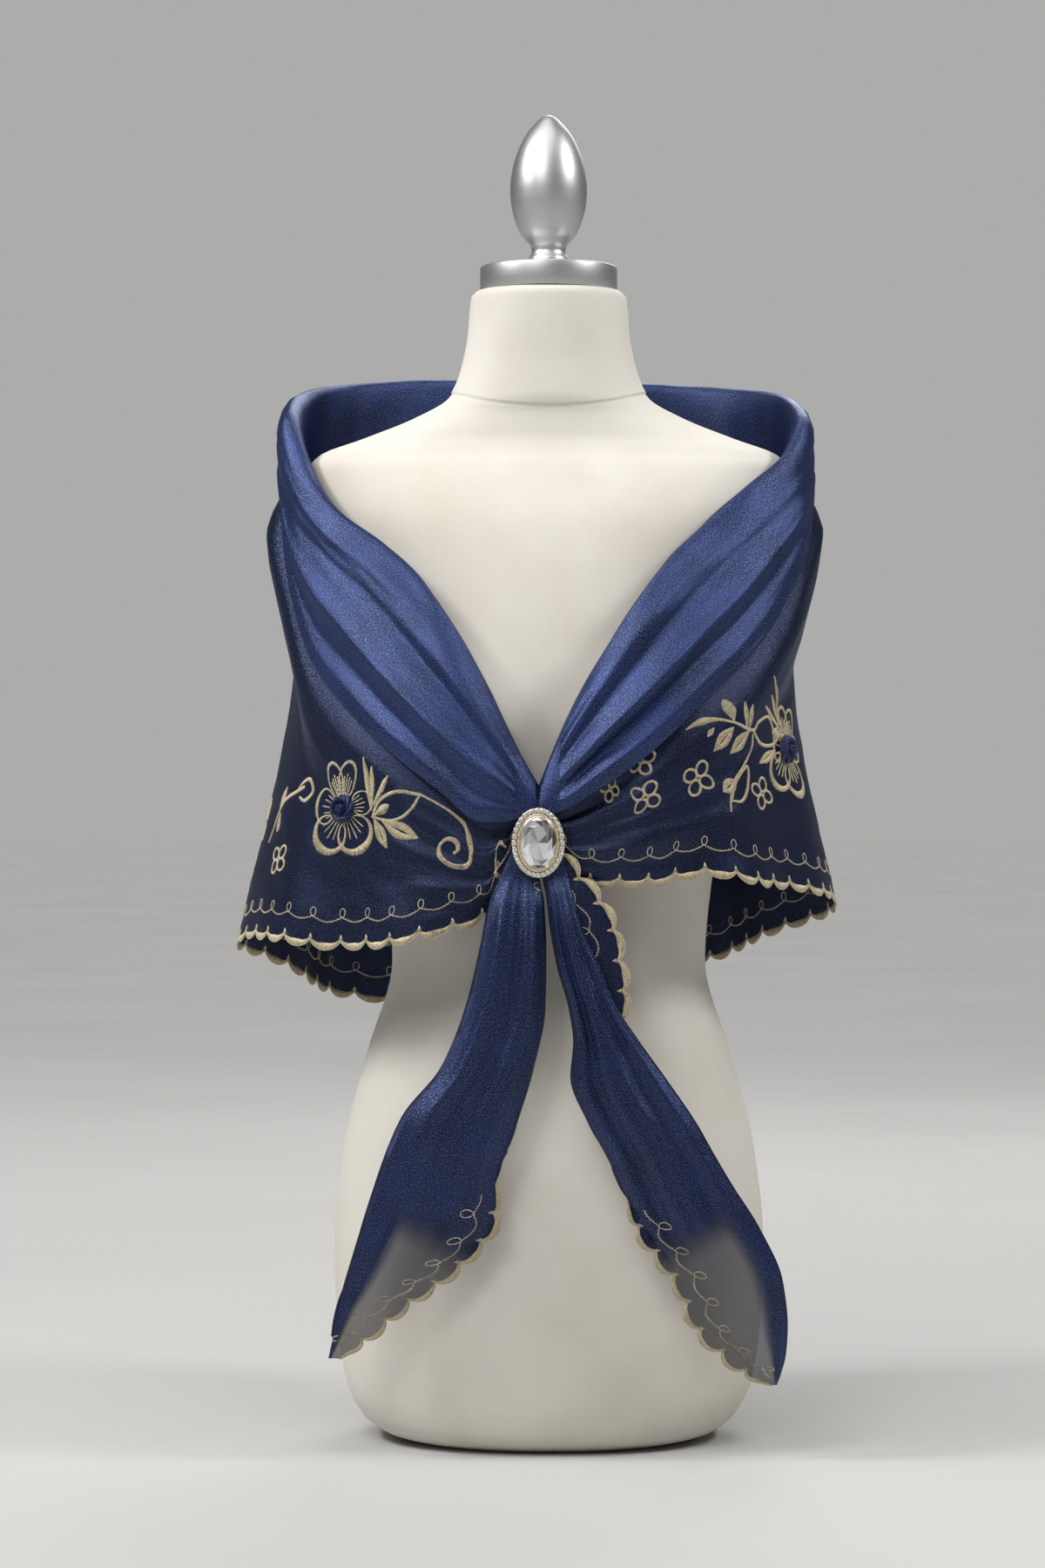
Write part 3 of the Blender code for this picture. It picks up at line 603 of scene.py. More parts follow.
@dataclass(frozen=True)
class Jersey(Finish):
    """Cotton jersey stretched over the form: a fine knit, matt, a little worn and uneven.

    The real wales lie about 0.6 mm apart and are drawn at 1.1 mm, so that they show.
    """

    wale_mm: float = 1.1
    patch_mm: float = 120.0
    shade: str = "c9c1b2"

    def add_detail(self, tree: bpy.types.NodeTree, shader: bpy.types.Node) -> None:
        """Add the knit's ribs and loops, and faint warmer patches.

        Args:
            tree: The material's tree.
            shader: Its shader.
        """
        place = add_node(tree, "ShaderNodeTexCoord")
        ribs = add_node(
            tree, "ShaderNodeTexWave",
            {"Vector": place.outputs["Object"], "Scale": WAVE_PITCH / (self.wale_mm * MM), "Distortion": 1.0},
            bands_direction="X",
        )
        loops = add_node(
            tree, "ShaderNodeTexNoise",
            {"Vector": place.outputs["Object"], "Scale": 1 / (self.wale_mm * MM), "Detail": 3.0},
        )
        both = add_node(
            tree, "ShaderNodeMath", {0: ribs.outputs["Fac"], 1: loops.outputs["Fac"]}, operation="ADD"
        )
        relief = add_node(
            tree, "ShaderNodeBump", {"Height": both.outputs[0], "Strength": 0.16, "Distance": 0.4 * MM}
        )
        tree.links.new(relief.outputs[0], shader.inputs["Normal"])
        tone = self.mottle(tree, self.patch_mm, self.shade, 0.45, 0.95)
        tree.links.new(tone, shader.inputs["Base Color"])


@dataclass(frozen=True)
class TurnedMetal(Finish):
    """Aluminium turned on a lathe and brushed as it spun: fine rings round the axis.

    The real scratches are about 0.1 mm apart and are drawn 0.6 mm wide, so that they show.
    """

    ring_mm: float = 0.6

    def add_detail(self, tree: bpy.types.NodeTree, shader: bpy.types.Node) -> None:
        """Add the rings as relief and as bands that are a little rougher.

        Args:
            tree: The material's tree.
            shader: Its shader.
        """
        place = add_node(tree, "ShaderNodeTexCoord")
        split = add_node(tree, "ShaderNodeSeparateXYZ", {0: place.outputs["Object"]})
        flat = add_node(tree, "ShaderNodeCombineXYZ", {0: split.outputs[0], 1: split.outputs[1]})
        radius = add_node(tree, "ShaderNodeVectorMath", {0: flat.outputs[0]}, operation="LENGTH")
        rings_at = add_node(tree, "ShaderNodeCombineXYZ", {0: radius.outputs["Value"], 2: split.outputs[2]})
        rings = add_node(
            tree, "ShaderNodeTexNoise",
            {"Vector": rings_at.outputs[0], "Scale": 1 / (self.ring_mm * MM), "Detail": 3.0},
        )
        relief = add_node(
            tree, "ShaderNodeBump", {"Height": rings.outputs["Fac"], "Strength": 0.25, "Distance": 0.1 * MM}
        )
        tree.links.new(relief.outputs[0], shader.inputs["Normal"])
        rough = add_node(
            tree, "ShaderNodeMapRange",
            {"Value": rings.outputs["Fac"], "To Min": self.roughness - 0.1, "To Max": self.roughness + 0.12},
        )
        tree.links.new(rough.outputs[0], shader.inputs["Roughness"])


@dataclass(frozen=True)
class Plate(Finish):
    """Pale gold plate, cast and tumbled: bright, with soft pits between the grains."""

    pit_mm: float = 0.9

    def add_detail(self, tree: bpy.types.NodeTree, shader: bpy.types.Node) -> None:
        """Add the casting's faint unevenness.

        Args:
            tree: The material's tree.
            shader: Its shader.
        """
        self.grain(tree, shader, self.pit_mm, 0.2, 0.15)


@dataclass(frozen=True)
class Crystal(Finish):
    """Cut crystal over silver foil: each facet is painted its own bright or dark tone, as a painted
    reflection.
    """

    # The colour that the darkest facets are painted, as a painted dark reflection.
    shade: str = "5a5254"

    def add_detail(self, tree: bpy.types.NodeTree, shader: bpy.types.Node) -> None:
        """Paint each facet its own bright or dark tone, as a painted reflection.

        Args:
            tree: The material's tree.
            shader: Its shader.
        """
        facet = add_node(tree, "ShaderNodeAttribute", attribute_name="facet")
        tone = add_node(
            tree, "ShaderNodeMix",
            {0: facet.outputs["Fac"], 6: linear(self.colour), 7: linear(self.shade)}, data_type="RGBA",
        )
        tree.links.new(tone.outputs[2], shader.inputs["Base Color"])

    @staticmethod
    def paint_facet_reflections(mesh: bpy.types.Mesh, deepest: float) -> None:
        """Store a painted reflection tone for each facet, which repeats in no order that shows.

        Args:
            mesh: The cut stone, or stones.
            deepest: The painted tone of the darkest facet, up to 1.
        """
        tones = [(math.sin(12.9898 * (k + 1)) * 43758.5453) % 1.0 for k in range(len(mesh.polygons))]
        stored = mesh.attributes.new("facet", "FLOAT", "FACE").data
        stored.foreach_set("value", [deepest * tone**1.6 for tone in tones])


@dataclass(frozen=True)
class StudioFloor(Finish):
    """Matt studio paper: pale, with the faintest change of tone."""

    pale: str = "efeeeb"
    patch_mm: float = 700.0
    near: float = 0.5
    far: float = 4.5
    near_tone: float = 0.66

    def add_detail(self, tree: bpy.types.NodeTree, shader: bpy.types.Node) -> None:
        """Add the faint tone, deeper near the form, so that the lamps' pool evens out.

        Args:
            tree: The material's tree.
            shader: Its shader.
        """
        place = add_node(tree, "ShaderNodeTexCoord")
        tone = self.mottle(tree, self.patch_mm, self.pale, 0.3, 0.9)
        away = add_node(tree, "ShaderNodeVectorMath", {0: place.outputs["Object"]}, operation="LENGTH")
        share = add_node(
            tree, "ShaderNodeMapRange",
            {
                "Value": away.outputs["Value"], "From Min": self.near, "From Max": self.far,
                "To Min": self.near_tone, "To Max": 1.0,
            },
            interpolation_type="SMOOTHSTEP",
        )
        deeper = add_node(
            tree, "ShaderNodeVectorMath", {0: tone, "Scale": share.outputs[0]}, operation="SCALE"
        )
        tree.links.new(deeper.outputs[0], shader.inputs["Base Color"])


NAVY_ORGANZA = Organza(
    "navy nylon organza", "090f28", 0.25, metallic=0.3, sheen=0.03, sheen_tint="8fa0d0", alpha=0.985
)
CHAMPAGNE_THREAD = Thread("champagne rayon thread", "d2c4a2", 0.32, sheen=0.2)
NAVY_RIBBON = Ribbon("navy satin ribbon", "0d1840", 0.5, sheen=0.3, sheen_tint="7f95d0")
CREAM_JERSEY = Jersey("cream cotton jersey", "e0dbd1", 0.86, sheen=0.1)
BRUSHED_ALUMINIUM = TurnedMetal("brushed aluminium", "c4c5c6", 0.42, metallic=1.0)
GOLD_PLATE = Plate("pale gold plate", "e2d8c0", 0.26, metallic=1.0)
CUT_CRYSTAL = Crystal("foiled cut crystal", "f6f6f8", 0.06, metallic=0.6, coat=0.5)
STUDIO_PAPER = StudioFloor("matt studio paper", "e6e5e2", 0.9)


@dataclass
class PointTree:
    """A Geometry Nodes tree that sets a shape at each point of a mesh, its sizes as named inputs."""

    name: str
    sizes_mm: dict[str, float]

    def __post_init__(self) -> None:
        """Start the tree with its inputs and its output."""
        self.tree = bpy.data.node_groups.new(self.name + " tree", "GeometryNodeTree")
        sockets = [("Points", "NodeSocketGeometry")] + [(size, "NodeSocketFloat") for size in self.sizes_mm]
        for socket, kind in sockets:
            self.tree.interface.new_socket(socket, in_out="INPUT", socket_type=kind)
        self.tree.interface.new_socket("Set", in_out="OUTPUT", socket_type="NodeSocketGeometry")
        self.given = add_node(self.tree, "NodeGroupInput").outputs

    def attribute(self, label: str, kind: str = "FLOAT_VECTOR") -> bpy.types.NodeSocket:
        """Read a named attribute of the points."""
        read = add_node(self.tree, "GeometryNodeInputNamedAttribute", {"Name": label}, data_type=kind)
        return read.outputs[0]

    def build(
        self, points: bpy.types.Mesh, finish: Finish, shape: bpy.types.NodeSocket,
        axes: tuple[object, object], scale: Sequence[bpy.types.NodeSocket],
    ) -> bpy.types.Object:
        """Finish the tree, and turn what it makes into a plain mesh.

        Args:
            points: The points, with what the tree reads of them.
            finish: What the shapes are made of.
            shape: The shape.
            axes: The ways of the shape's Z and X.
            scale: The shape's size along X, Y and Z.

        Returns:
            The piece.
        """
        material = finish.material()
        turn = add_node(
            self.tree, "FunctionNodeAxesToRotation",
            {"Primary Axis": axes[0], "Secondary Axis": axes[1]}, primary_axis="Z", secondary_axis="X",
        )
        size = add_node(self.tree, "ShaderNodeCombineXYZ", dict(enumerate(scale)))
        placed = add_node(
            self.tree, "GeometryNodeInstanceOnPoints",
            {
                "Points": self.given["Points"], "Instance": shape,
                "Rotation": turn.outputs[0], "Scale": size.outputs[0],
            },
        )
        real = add_node(self.tree, "GeometryNodeRealizeInstances", {0: placed.outputs[0]})
        given = {"Geometry": real.outputs[0], "Material": material}
        done = add_node(self.tree, "GeometryNodeSetMaterial", given)
        add_node(self.tree, "NodeGroupOutput", {0: done.outputs[0]})
        source = new_object(self.name + "_source", points, material)
        modifier = source.modifiers.new("set", "NODES")
        modifier.node_group = self.tree
        for item in self.tree.interface.items_tree:
            if item.in_out == "INPUT" and item.name in self.sizes_mm:
                modifier[item.identifier] = self.sizes_mm[item.name] * MM
        mesh = applied(source)
        bpy.data.objects.remove(source)
        return new_object(self.name, mesh, material)


@dataclass
class Stitches:
    """Laid stitches, gathered from many motifs and then made by one Geometry Nodes tree."""

    width_mm: float = 1.0
    height_mm: float = 1.3
    sides: int = 4
    seed: int = 7
    thinnest: float = 0.86
    thickest: float = 1.16
    middles: list[Vector] = field(default_factory=list)
    lies: list[Vector] = field(default_factory=list)
    ups: list[Vector] = field(default_factory=list)
    lengths: list[float] = field(default_factory=list)

    def lay(self, a: Vector, b: Vector, up: Vector) -> None:
        """Lay one stitch on a surface.

        Args:
            a: Where it starts.
            b: Where it ends.
            up: The way that the surface faces.
        """
        span = b - a
        if span.length > 1e-5:
            self.middles.append((a + b) / 2)
            self.lies.append(span.normalized())
            self.ups.append(up)
            self.lengths.append(span.length)

    def build(self, name: str, finish: Finish) -> bpy.types.Object:
        """Make all stitches as one plain mesh, a rounded bar of thread at each point.

        Args:
            name: The piece's name.
            finish: The thread.

        Returns:
            The piece.
        """
        points = bpy.data.meshes.new(name + "_points")
        points.from_pydata(self.middles, [], [])
        for label, kind, field_name, values in (
            ("lie", "FLOAT_VECTOR", "vector", [c for v in self.lies for c in v]),
            ("up", "FLOAT_VECTOR", "vector", [c for v in self.ups for c in v]),
            ("length", "FLOAT", "value", self.lengths),
        ):
            points.attributes.new(label, kind, "POINT").data.foreach_set(field_name, values)
        sewn = PointTree(name, {"Thread width": self.width_mm, "Thread height": self.height_mm})
        bar = add_node(
            sewn.tree, "GeometryNodeMeshCylinder",
            {"Vertices": self.sides, "Radius": 0.5, "Depth": 1.0}, fill_type="NGON",
        )
        rounded = add_node(sewn.tree, "GeometryNodeSetShadeSmooth", {0: bar.outputs["Mesh"]})
        uneven = add_node(
            sewn.tree, "FunctionNodeRandomValue",
            {2: self.thinnest, 3: self.thickest, "Seed": self.seed}, data_type="FLOAT",
        )
        width = add_node(
            sewn.tree, "ShaderNodeMath",
            {0: sewn.given["Thread width"], 1: uneven.outputs[1]}, operation="MULTIPLY",
        )
        scale = (sewn.given["Thread height"], width.outputs[0], sewn.attribute("length", "FLOAT"))
        axes = (sewn.attribute("lie"), sewn.attribute("up"))
        return sewn.build(points, finish, rounded.outputs[0], axes, scale)


@dataclass(frozen=True)
class Scallop:
    """The sizes of the shawl's scalloped edge, in mm."""

    width: float = 23.0
    depth: float = 7.0
    band: float = 1.0
    steps: int = 8
    satin_middle: float = 5.4
    satin_end: float = 1.5
    thorn: float = 3.4
    stitches: int = 36
    loop_inset: float = 16.0
    loop_radius: float = 2.7
    loop_tall: float = 1.35
    loop_sag: float = 3.0
    zigzag: float = 1.1
    zigzag_pitch: float = 1.25

    def drop(self, phase: float) -> float:
        """Find how far a scallop's round arc stands below its ends, in mm.

        Args:
            phase: How far along the scallop, from 0 to 1.

        Returns:
            The distance.
        """
        half = self.width / 2
        radius = (half * half + self.depth * self.depth) / (2 * self.depth)
        return math.sqrt(radius * radius - (half * (2 * phase - 1)) ** 2) - (radius - self.depth)


SCALLOP = Scallop()


class ClothSurface:
    """Cloth held as lines that run in from a scalloped edge, a fixed number for each scallop."""

    def __init__(
        self, lines: Sequence[Sequence[Vector]], outward: Sequence[Vector], full: Callable[[float], float]
    ) -> None:
        """Measure the lines.

        Args:
            lines: The lines, each from the edge inwards.
            outward: The way out at each.
            full: Gives a scallop's share of its full depth.
        """
        self.lines = lines
        self.outward = outward
        self.full = full
        self.along = [lengths_along(line) for line in lines]

    @property
    def scallops(self) -> int:
        """The number of scallops."""
        return (len(self.lines) - 1) // SCALLOP.steps

    def on_line(self, index: int, inset: float) -> Vector:
        """Find a point of one line.

        Args:
            index: The line's number.
            inset: The distance in from the edge, in metres.

        Returns:
            The point.
        """
        lengths, line = self.along[index], self.lines[index]
        i = min(max(bisect_right(lengths, inset) - 1, 0), len(lengths) - 2)
        share = (inset - lengths[i]) / max(lengths[i + 1] - lengths[i], 1e-9)
        return line[i].lerp(line[i + 1], min(share, 1.0))

    def column(self, scallop: float) -> tuple[int, float]:
        """Find the line before a place along the edge, and the share of the way to the next."""
        column = min(max(scallop * SCALLOP.steps, 0.0), len(self.lines) - 1.001)
        return int(column), column - int(column)

    def at(self, scallop: float, inset_mm: float) -> Vector:
        """Find a point of the cloth.

        Args:
            scallop: The place along the edge, in scallops.
            inset_mm: The distance in from the edge.

        Returns:
            The point.
        """
        k, share = self.column(scallop)
        return self.on_line(k, inset_mm * MM).lerp(self.on_line(k + 1, inset_mm * MM), share)

    def facing(self, scallop: float, inset_mm: float) -> Vector:
        """Find the way that the cloth faces there, as one of its two sides.

        Args:
            scallop: The place along the edge, in scallops.
            inset_mm: The distance in from the edge.

        Returns:
            The way.
        """
        inset = max(inset_mm, 1.0)
        across = self.at(scallop + 0.12, inset) - self.at(scallop - 0.12, inset)
        inward = self.at(scallop, inset + 1.5) - self.at(scallop, inset - 1.0)
        normal = across.cross(inward)
        return normal.normalized() if normal.length > 0 else Vector((0, -1, 0))

    def contour(self, scallop: float) -> Vector:
        """Find the point of the scalloped outline there.

        Args:
            scallop: The place along the edge, in scallops.

        Returns:
            The point.
        """
        k, share = self.column(scallop)
        base = self.lines[k][0].lerp(self.lines[k + 1][0], share)
        way = self.outward[k].lerp(self.outward[k + 1], share).normalized()
        drop = SCALLOP.drop(scallop % 1.0) * self.full(scallop)
        return base + way * (SCALLOP.band + drop) * MM

    def sew_edge(self, stitches: Stitches) -> None:
        """Lay the satin stitch along the scallops, thick in each middle, with a thorn where two meet.

        Args:
            stitches: Where the stitches are gathered.
        """
        for n in range(self.scallops):
            before = None
            for k in range(SCALLOP.stitches + 1):
                phase = k / SCALLOP.stitches
                at = n + phase
                full = self.full(at)
                if full <= 0.02:
                    before = None
                    continue
                outer = self.contour(min(at, n + 0.999))
                across = self.contour(min(at + 0.02, n + 0.999)) - self.contour(max(at - 0.02, n + 0.001))
                up = self.facing(at, 2.0)
                inward = up.cross(across).normalized()
                if inward.dot(self.outward[min(int(at * SCALLOP.steps), len(self.outward) - 1)]) > 0:
                    inward = -inward
                swell = (SCALLOP.satin_middle - SCALLOP.satin_end) * math.sin(math.pi * phase)
                reach = SCALLOP.satin_end + swell * full
                stitches.lay(outer, outer + inward * reach * MM, up)
                if before is not None:
                    stitches.lay(before, outer, up)
                before = outer
            if n and self.full(n) > 0.3:
                for side in (-0.06, -0.03, 0.0, 0.03):
                    tip = SCALLOP.thorn * (1 - 6 * abs(side))
                    stitches.lay(self.at(n + side, 0.0), self.at(n + 0.2 * side, tip), self.facing(n, 2.0))

    def loop_path(self, start: float, end: float, scale: float = 1.0) -> list[tuple[float, float, float]]:
        """Run a line of shallow swags with a small standing loop where two scallops meet.

        Args:
            start: The first place, in scallops.
            end: The last place, in scallops.
            scale: How much larger than usual the loops and swags are.

        Returns:
            Places on the cloth as scallop and inset in mm, each with the swing of its zigzag.
        """
        path = []
        ring = SCALLOP.loop_radius * scale / SCALLOP.width
        for n in range(math.floor(start), math.ceil(end)):
            for k in range(9):
                share = k / 8
                sag = SCALLOP.loop_sag * scale * math.sin(math.pi * share)
                along = n + ring * 0.4 + share * (1 - ring * 0.8)
                path.append((along, SCALLOP.loop_inset - sag, SCALLOP.zigzag))
            for k in range(1, 16):
                angle = 2 * math.pi * k / 16
                rise = SCALLOP.loop_radius * scale * SCALLOP.loop_tall * (1 - math.cos(angle))
                across = ring * (0.8 * k / 16 - 0.4 + math.sin(angle))
                path.append((n + 1 + across, SCALLOP.loop_inset + rise, 0.0))
        return [place for place in path if start <= place[0] <= end]

    def sew_zigzag(self, stitches: Stitches, path: Sequence[tuple[float, float, float]]) -> None:
        """Sew a narrow zigzag along a path, or a plain line where its swing is 0.

        Args:
            stitches: Where the stitches are gathered.
            path: Places as scallop and inset in mm, each with its swing in mm.
        """
        pitch = SCALLOP.zigzag_pitch * MM
        points = [self.at(*place[:2]) for place in path]
        left, side, before = 0.0, 1, None
        for k, (a, b) in enumerate(zip(points, points[1:])):
            span = (b - a).length
            up = self.facing(*path[k][:2])
            aside = (b - a).normalized().cross(up) * path[k][2] / 2 * MM
            while left < span:
                here = a.lerp(b, left / max(span, 1e-9)) + aside * side
                if before is not None and (here - before).length < 4 * pitch:
                    stitches.lay(before, here, up)
                before, side = here, -side
                left += pitch
            left -= span


@dataclass
class ClothMesh:
    """A mesh of cloth in the making: its points, their places on the flat cloth, and faces."""

    points: list[Vector] = field(default_factory=list)
    places: list[Flat] = field(default_factory=list)
    faces: list[tuple[int, ...]] = field(default_factory=list)
    doubled: list[float] = field(default_factory=list)
    sheer: list[float] = field(default_factory=list)

    def line(
        self, points: Sequence[Vector], places: Sequence[Flat],
        doubled: Sequence[float] | float = 0.0, sheer: Sequence[float] | float = 0.0,
    ) -> list[int]:
        """Add a line of points.

        Args:
            points: The points.
            places: Their places on the flat cloth.
            doubled: How far each point looks like two layers and is painted lighter, from 0 to 1; at 0 one
                layer is painted darker, as painted shade.
            sheer: How far each point can be seen through, from 0 to 1.

        Returns:
            The points' numbers.
        """
        start, count = len(self.points), len(points)
        self.points += points
        self.places += places
        self.doubled += [doubled] * count if isinstance(doubled, float) else doubled
        self.sheer += [sheer] * count if isinstance(sheer, float) else sheer
        return list(range(start, len(self.points)))

    def join(self, lines: Sequence[Sequence[int]]) -> None:
        """Join neighbouring lines by faces.

        Args:
            lines: The lines' point numbers, equally many in each.
        """
        for a, b in zip(lines, lines[1:]):
            self.faces += [(a[j], b[j], b[j + 1], a[j + 1]) for j in range(len(a) - 1)]

    def close(self, line: Sequence[int], point: int) -> None:
        """Join a line to one point by a fan of faces."""
        self.faces += [(a, point, b) for a, b in zip(line, line[1:])]

    def build(self, name: str, finish: Finish, wall_mm: float) -> bpy.types.Object:
        """Make the mesh, give it the cloth's thickness and keep its flat places as a UV map.

        Args:
            name: The piece's name.
            finish: The cloth.
            wall_mm: The cloth's thickness.

        Returns:
            The piece.
        """
        mesh = bpy.data.meshes.new(name)
        mesh.from_pydata(self.points, [], self.faces)
        layer = mesh.uv_layers.new(name="cloth")
        corners = [0] * len(mesh.loops)
        mesh.loops.foreach_get("vertex_index", corners)
        layer.data.foreach_set("uv", [c for v in corners for c in self.places[v]])
        for label, values in (("doubled", self.doubled), ("sheer", self.sheer)):
            mesh.attributes.new(label, "FLOAT", "POINT").data.foreach_set("value", values)
        face_outwards(mesh, 0.01)
        mesh.shade_smooth()
        piece = new_object(name, mesh, finish.material())
        wall = piece.modifiers.new("wall", "SOLIDIFY")
        wall.thickness = wall_mm * MM
        wall.offset = 0.0
        piece.data = applied(piece)
        return piece


class Cut(NamedTuple):
    """One upright cut through the shawl, as distances from the axis and heights in mm."""

    turn: float
    lip_r: float
    lip_z: float
    edge_r: float
    edge_z: float
    band: float
    roll_r: float
    roll_z: float
    crease_r: float
    crease_z: float
    tuck: float
    arm_r: float
    arm_z: float
    waist_r: float
    waist_z: float
    hem_r: float
    hem_z: float


# Seen from above, the angle grows from the front to the wearer's right side, the back
# and the other side. Below 0 the tuck has opened into a soft step.
CUTS = [
    Cut(3.55, 131, 495, 134, 506, 6, 141.7, 496, 143.2, 482, 3, 133.5, 476, 133, 470, 132, 464),
    Cut(9, 131, 512, 134, 528, 6, 144.2, 510, 145.6, 481, 4, 135, 474, 134, 467, 133, 459),
    Cut(15, 130, 535, 135, 556, 7, 149, 530, 151, 479, 6, 140, 467, 138, 452, 136, 436),
    Cut(19, 129, 550, 136, 576, 8, 152, 542, 154, 479, 9, 145, 463, 143, 440, 141, 414),
    Cut(31, 128, 592, 137, 624, 10, 158, 578, 162, 503, 13, 158, 482, 159, 448, 164, 401),
    Cut(44, 130, 630, 139, 661, 12, 164, 616, 173, 532, 13, 172, 508, 173, 461, 181, 392),
    Cut(57, 141, 660, 152, 690, 14, 174, 655, 185, 566, 11, 187, 540, 188, 482, 199, 390),
    Cut(68, 163, 686, 174, 715, 15, 190, 688, 197, 604, 9, 198, 574, 195, 512, 216, 395),
    Cut(79, 180, 716, 190, 750, 17, 203, 722, 206, 670, 7, 209, 641, 197, 562, 230, 396),
    Cut(90, 187.2, 736, 202, 797, 18, 211, 770, 210, 738, 5, 220, 700, 197, 592, 238, 390),
    Cut(104, 195, 748, 203, 816, 17, 211, 790, 211, 755, 0, 219, 712, 200, 600, 236, 378),
    Cut(120, 181, 756, 190, 828, 15, 198, 804, 202, 766, -8, 207, 718, 196, 610, 223, 352),
    Cut(138, 146, 757, 154, 834, 13, 161, 812, 168, 770, -14, 176, 714, 180, 610, 204, 335),
    Cut(158, 117, 757, 124, 835, 12, 131, 814, 139, 770, -14, 149, 710, 157, 600, 187, 328),
    Cut(180, 108, 757, 114, 835, 12, 121, 814, 129, 770, -14, 139, 708, 147, 600, 179, 326),
    Cut(202, 117, 757, 124, 833, 12, 131, 812, 139, 768, -14, 149, 710, 156, 600, 182, 340),
    Cut(222, 146, 755, 154, 830, 13, 161, 808, 168, 766, -14, 175, 712, 178, 606, 190, 368),
    Cut(240, 176, 753, 184, 824, 15, 192, 800, 196, 762, -8, 201, 714, 190, 604, 206, 389),
    Cut(256, 190, 746, 198, 812, 16, 206, 786, 207, 750, 0, 213, 708, 192, 600, 218, 408),
    Cut(270, 187.9, 736, 198, 796, 16, 207, 769, 207, 738, 5, 214, 702, 190, 594, 221, 422),
    Cut(282, 179, 716, 187, 762, 14, 201, 734, 204, 690, 6, 206, 658, 191, 574, 215, 428),
    Cut(293, 155, 694, 165, 735, 14, 184, 702, 193, 640, 8, 196, 612, 189, 547, 204, 434),
    Cut(305, 136, 672, 145, 705, 12, 170, 668, 182, 601, 9, 185, 574, 181, 524, 190, 438),
    Cut(318, 130, 648, 138, 680, 10, 161, 636, 171, 568, 10, 172, 543, 171, 502, 175, 445),
    Cut(332, 128, 612, 136, 643, 9, 156, 597, 162, 532, 10, 160, 514, 159, 484, 160, 438),
    Cut(346, 130, 563, 135, 593, 8, 150, 556, 154, 504, 7, 143, 491, 141, 470, 140, 437),
    Cut(355, 131, 522, 134, 554, 7, 144.7, 526, 146.6, 489, 4, 136, 481, 135, 466, 134, 446),
    Cut(363.55, 131, 495, 134, 506, 6, 141.7, 496, 143.2, 482, 3, 133.5, 476, 133, 470, 132, 459),
]


class Side(Enum):
    """The side of the brooch that a fold runs out to, as the viewer sees it."""

    LEFT = "left"
    RIGHT = "right"


class Pleat(NamedTuple):
    """A fold that runs out from the brooch along a row of the cuts."""

    side: Side
    row: float
    width: float
    depth: float
    fade: float


class Flute(NamedTuple):
    """An upright flute that opens towards the hem."""

    turn: float
    half_angle: float
    depth: float


PLEATS = [
    Pleat(Side.LEFT, 5.2, 0.9, 5.0, 36),
    Pleat(Side.LEFT, 7.6, 0.9, 5.5, 46),
    Pleat(Side.LEFT, 16.4, 1.0, 4.5, 28),
    Pleat(Side.LEFT, 19.6, 1.0, 5.5, 36),
    Pleat(Side.RIGHT, 4.6, 0.8, 5.0, 40),
    Pleat(Side.RIGHT, 6.3, 0.8, 6.5, 56),
    Pleat(Side.RIGHT, 8.2, 0.8, 5.5, 44),
    Pleat(Side.RIGHT, 16.4, 1.0, 5.0, 42),
    Pleat(Side.RIGHT, 19.6, 1.0, 5.5, 64),
]
# Soft ridges that run the length of the rolls, finer than the pleats
RIDGES = [
    Pleat(Side.LEFT, 4.5, 0.30, 3.0, 92), Pleat(Side.LEFT, 5.7, 0.36, -4.0, 88),
    Pleat(Side.LEFT, 7.0, 0.32, 5.6, 96), Pleat(Side.LEFT, 7.9, 0.26, -3.8, 84),
    Pleat(Side.LEFT, 8.5, 0.24, 2.6, 70), Pleat(Side.LEFT, 6.3, 0.20, 1.6, 52),
    Pleat(Side.LEFT, 17.9, 0.6, 2.2, 46), Pleat(Side.LEFT, 14.6, 0.5, -1.6, 34),
    Pleat(Side.RIGHT, 4.6, 0.30, 2.8, 78), Pleat(Side.RIGHT, 5.5, 0.32, -4.2, 82),
    Pleat(Side.RIGHT, 6.6, 0.30, 5.4, 88), Pleat(Side.RIGHT, 7.5, 0.26, -4.2, 80),
    Pleat(Side.RIGHT, 8.3, 0.28, 3.8, 74), Pleat(Side.RIGHT, 7.0, 0.18, 1.6, 50),
    Pleat(Side.RIGHT, 14.8, 0.5, -2.0, 40), Pleat(Side.RIGHT, 18.0, 0.5, 2.0, 56),
]
FLUTES = [
    Flute(38, 9, 5), Flute(52, 7, -4), Flute(67, 8, 5), Flute(98, 8, 8), Flute(114, 8, -10),
    Flute(130, 7, 11), Flute(147, 8, -11), Flute(163, 7, 10), Flute(177, 6, -8), Flute(192, 8, 12),
    Flute(209, 7, -11), Flute(224, 7, 9), Flute(241, 8, -9), Flute(259, 8, 8), Flute(294, 8, -5),
    Flute(310, 7, 5), Flute(325, 8, -4),
]


def on_polar(turn: float, r: float, z: float) -> Vector:
    """Find the point at an angle from the front, a distance from the axis and a height."""
    angle = math.radians(turn)
    return Vector((-r * math.sin(angle), -r * math.cos(angle), z))


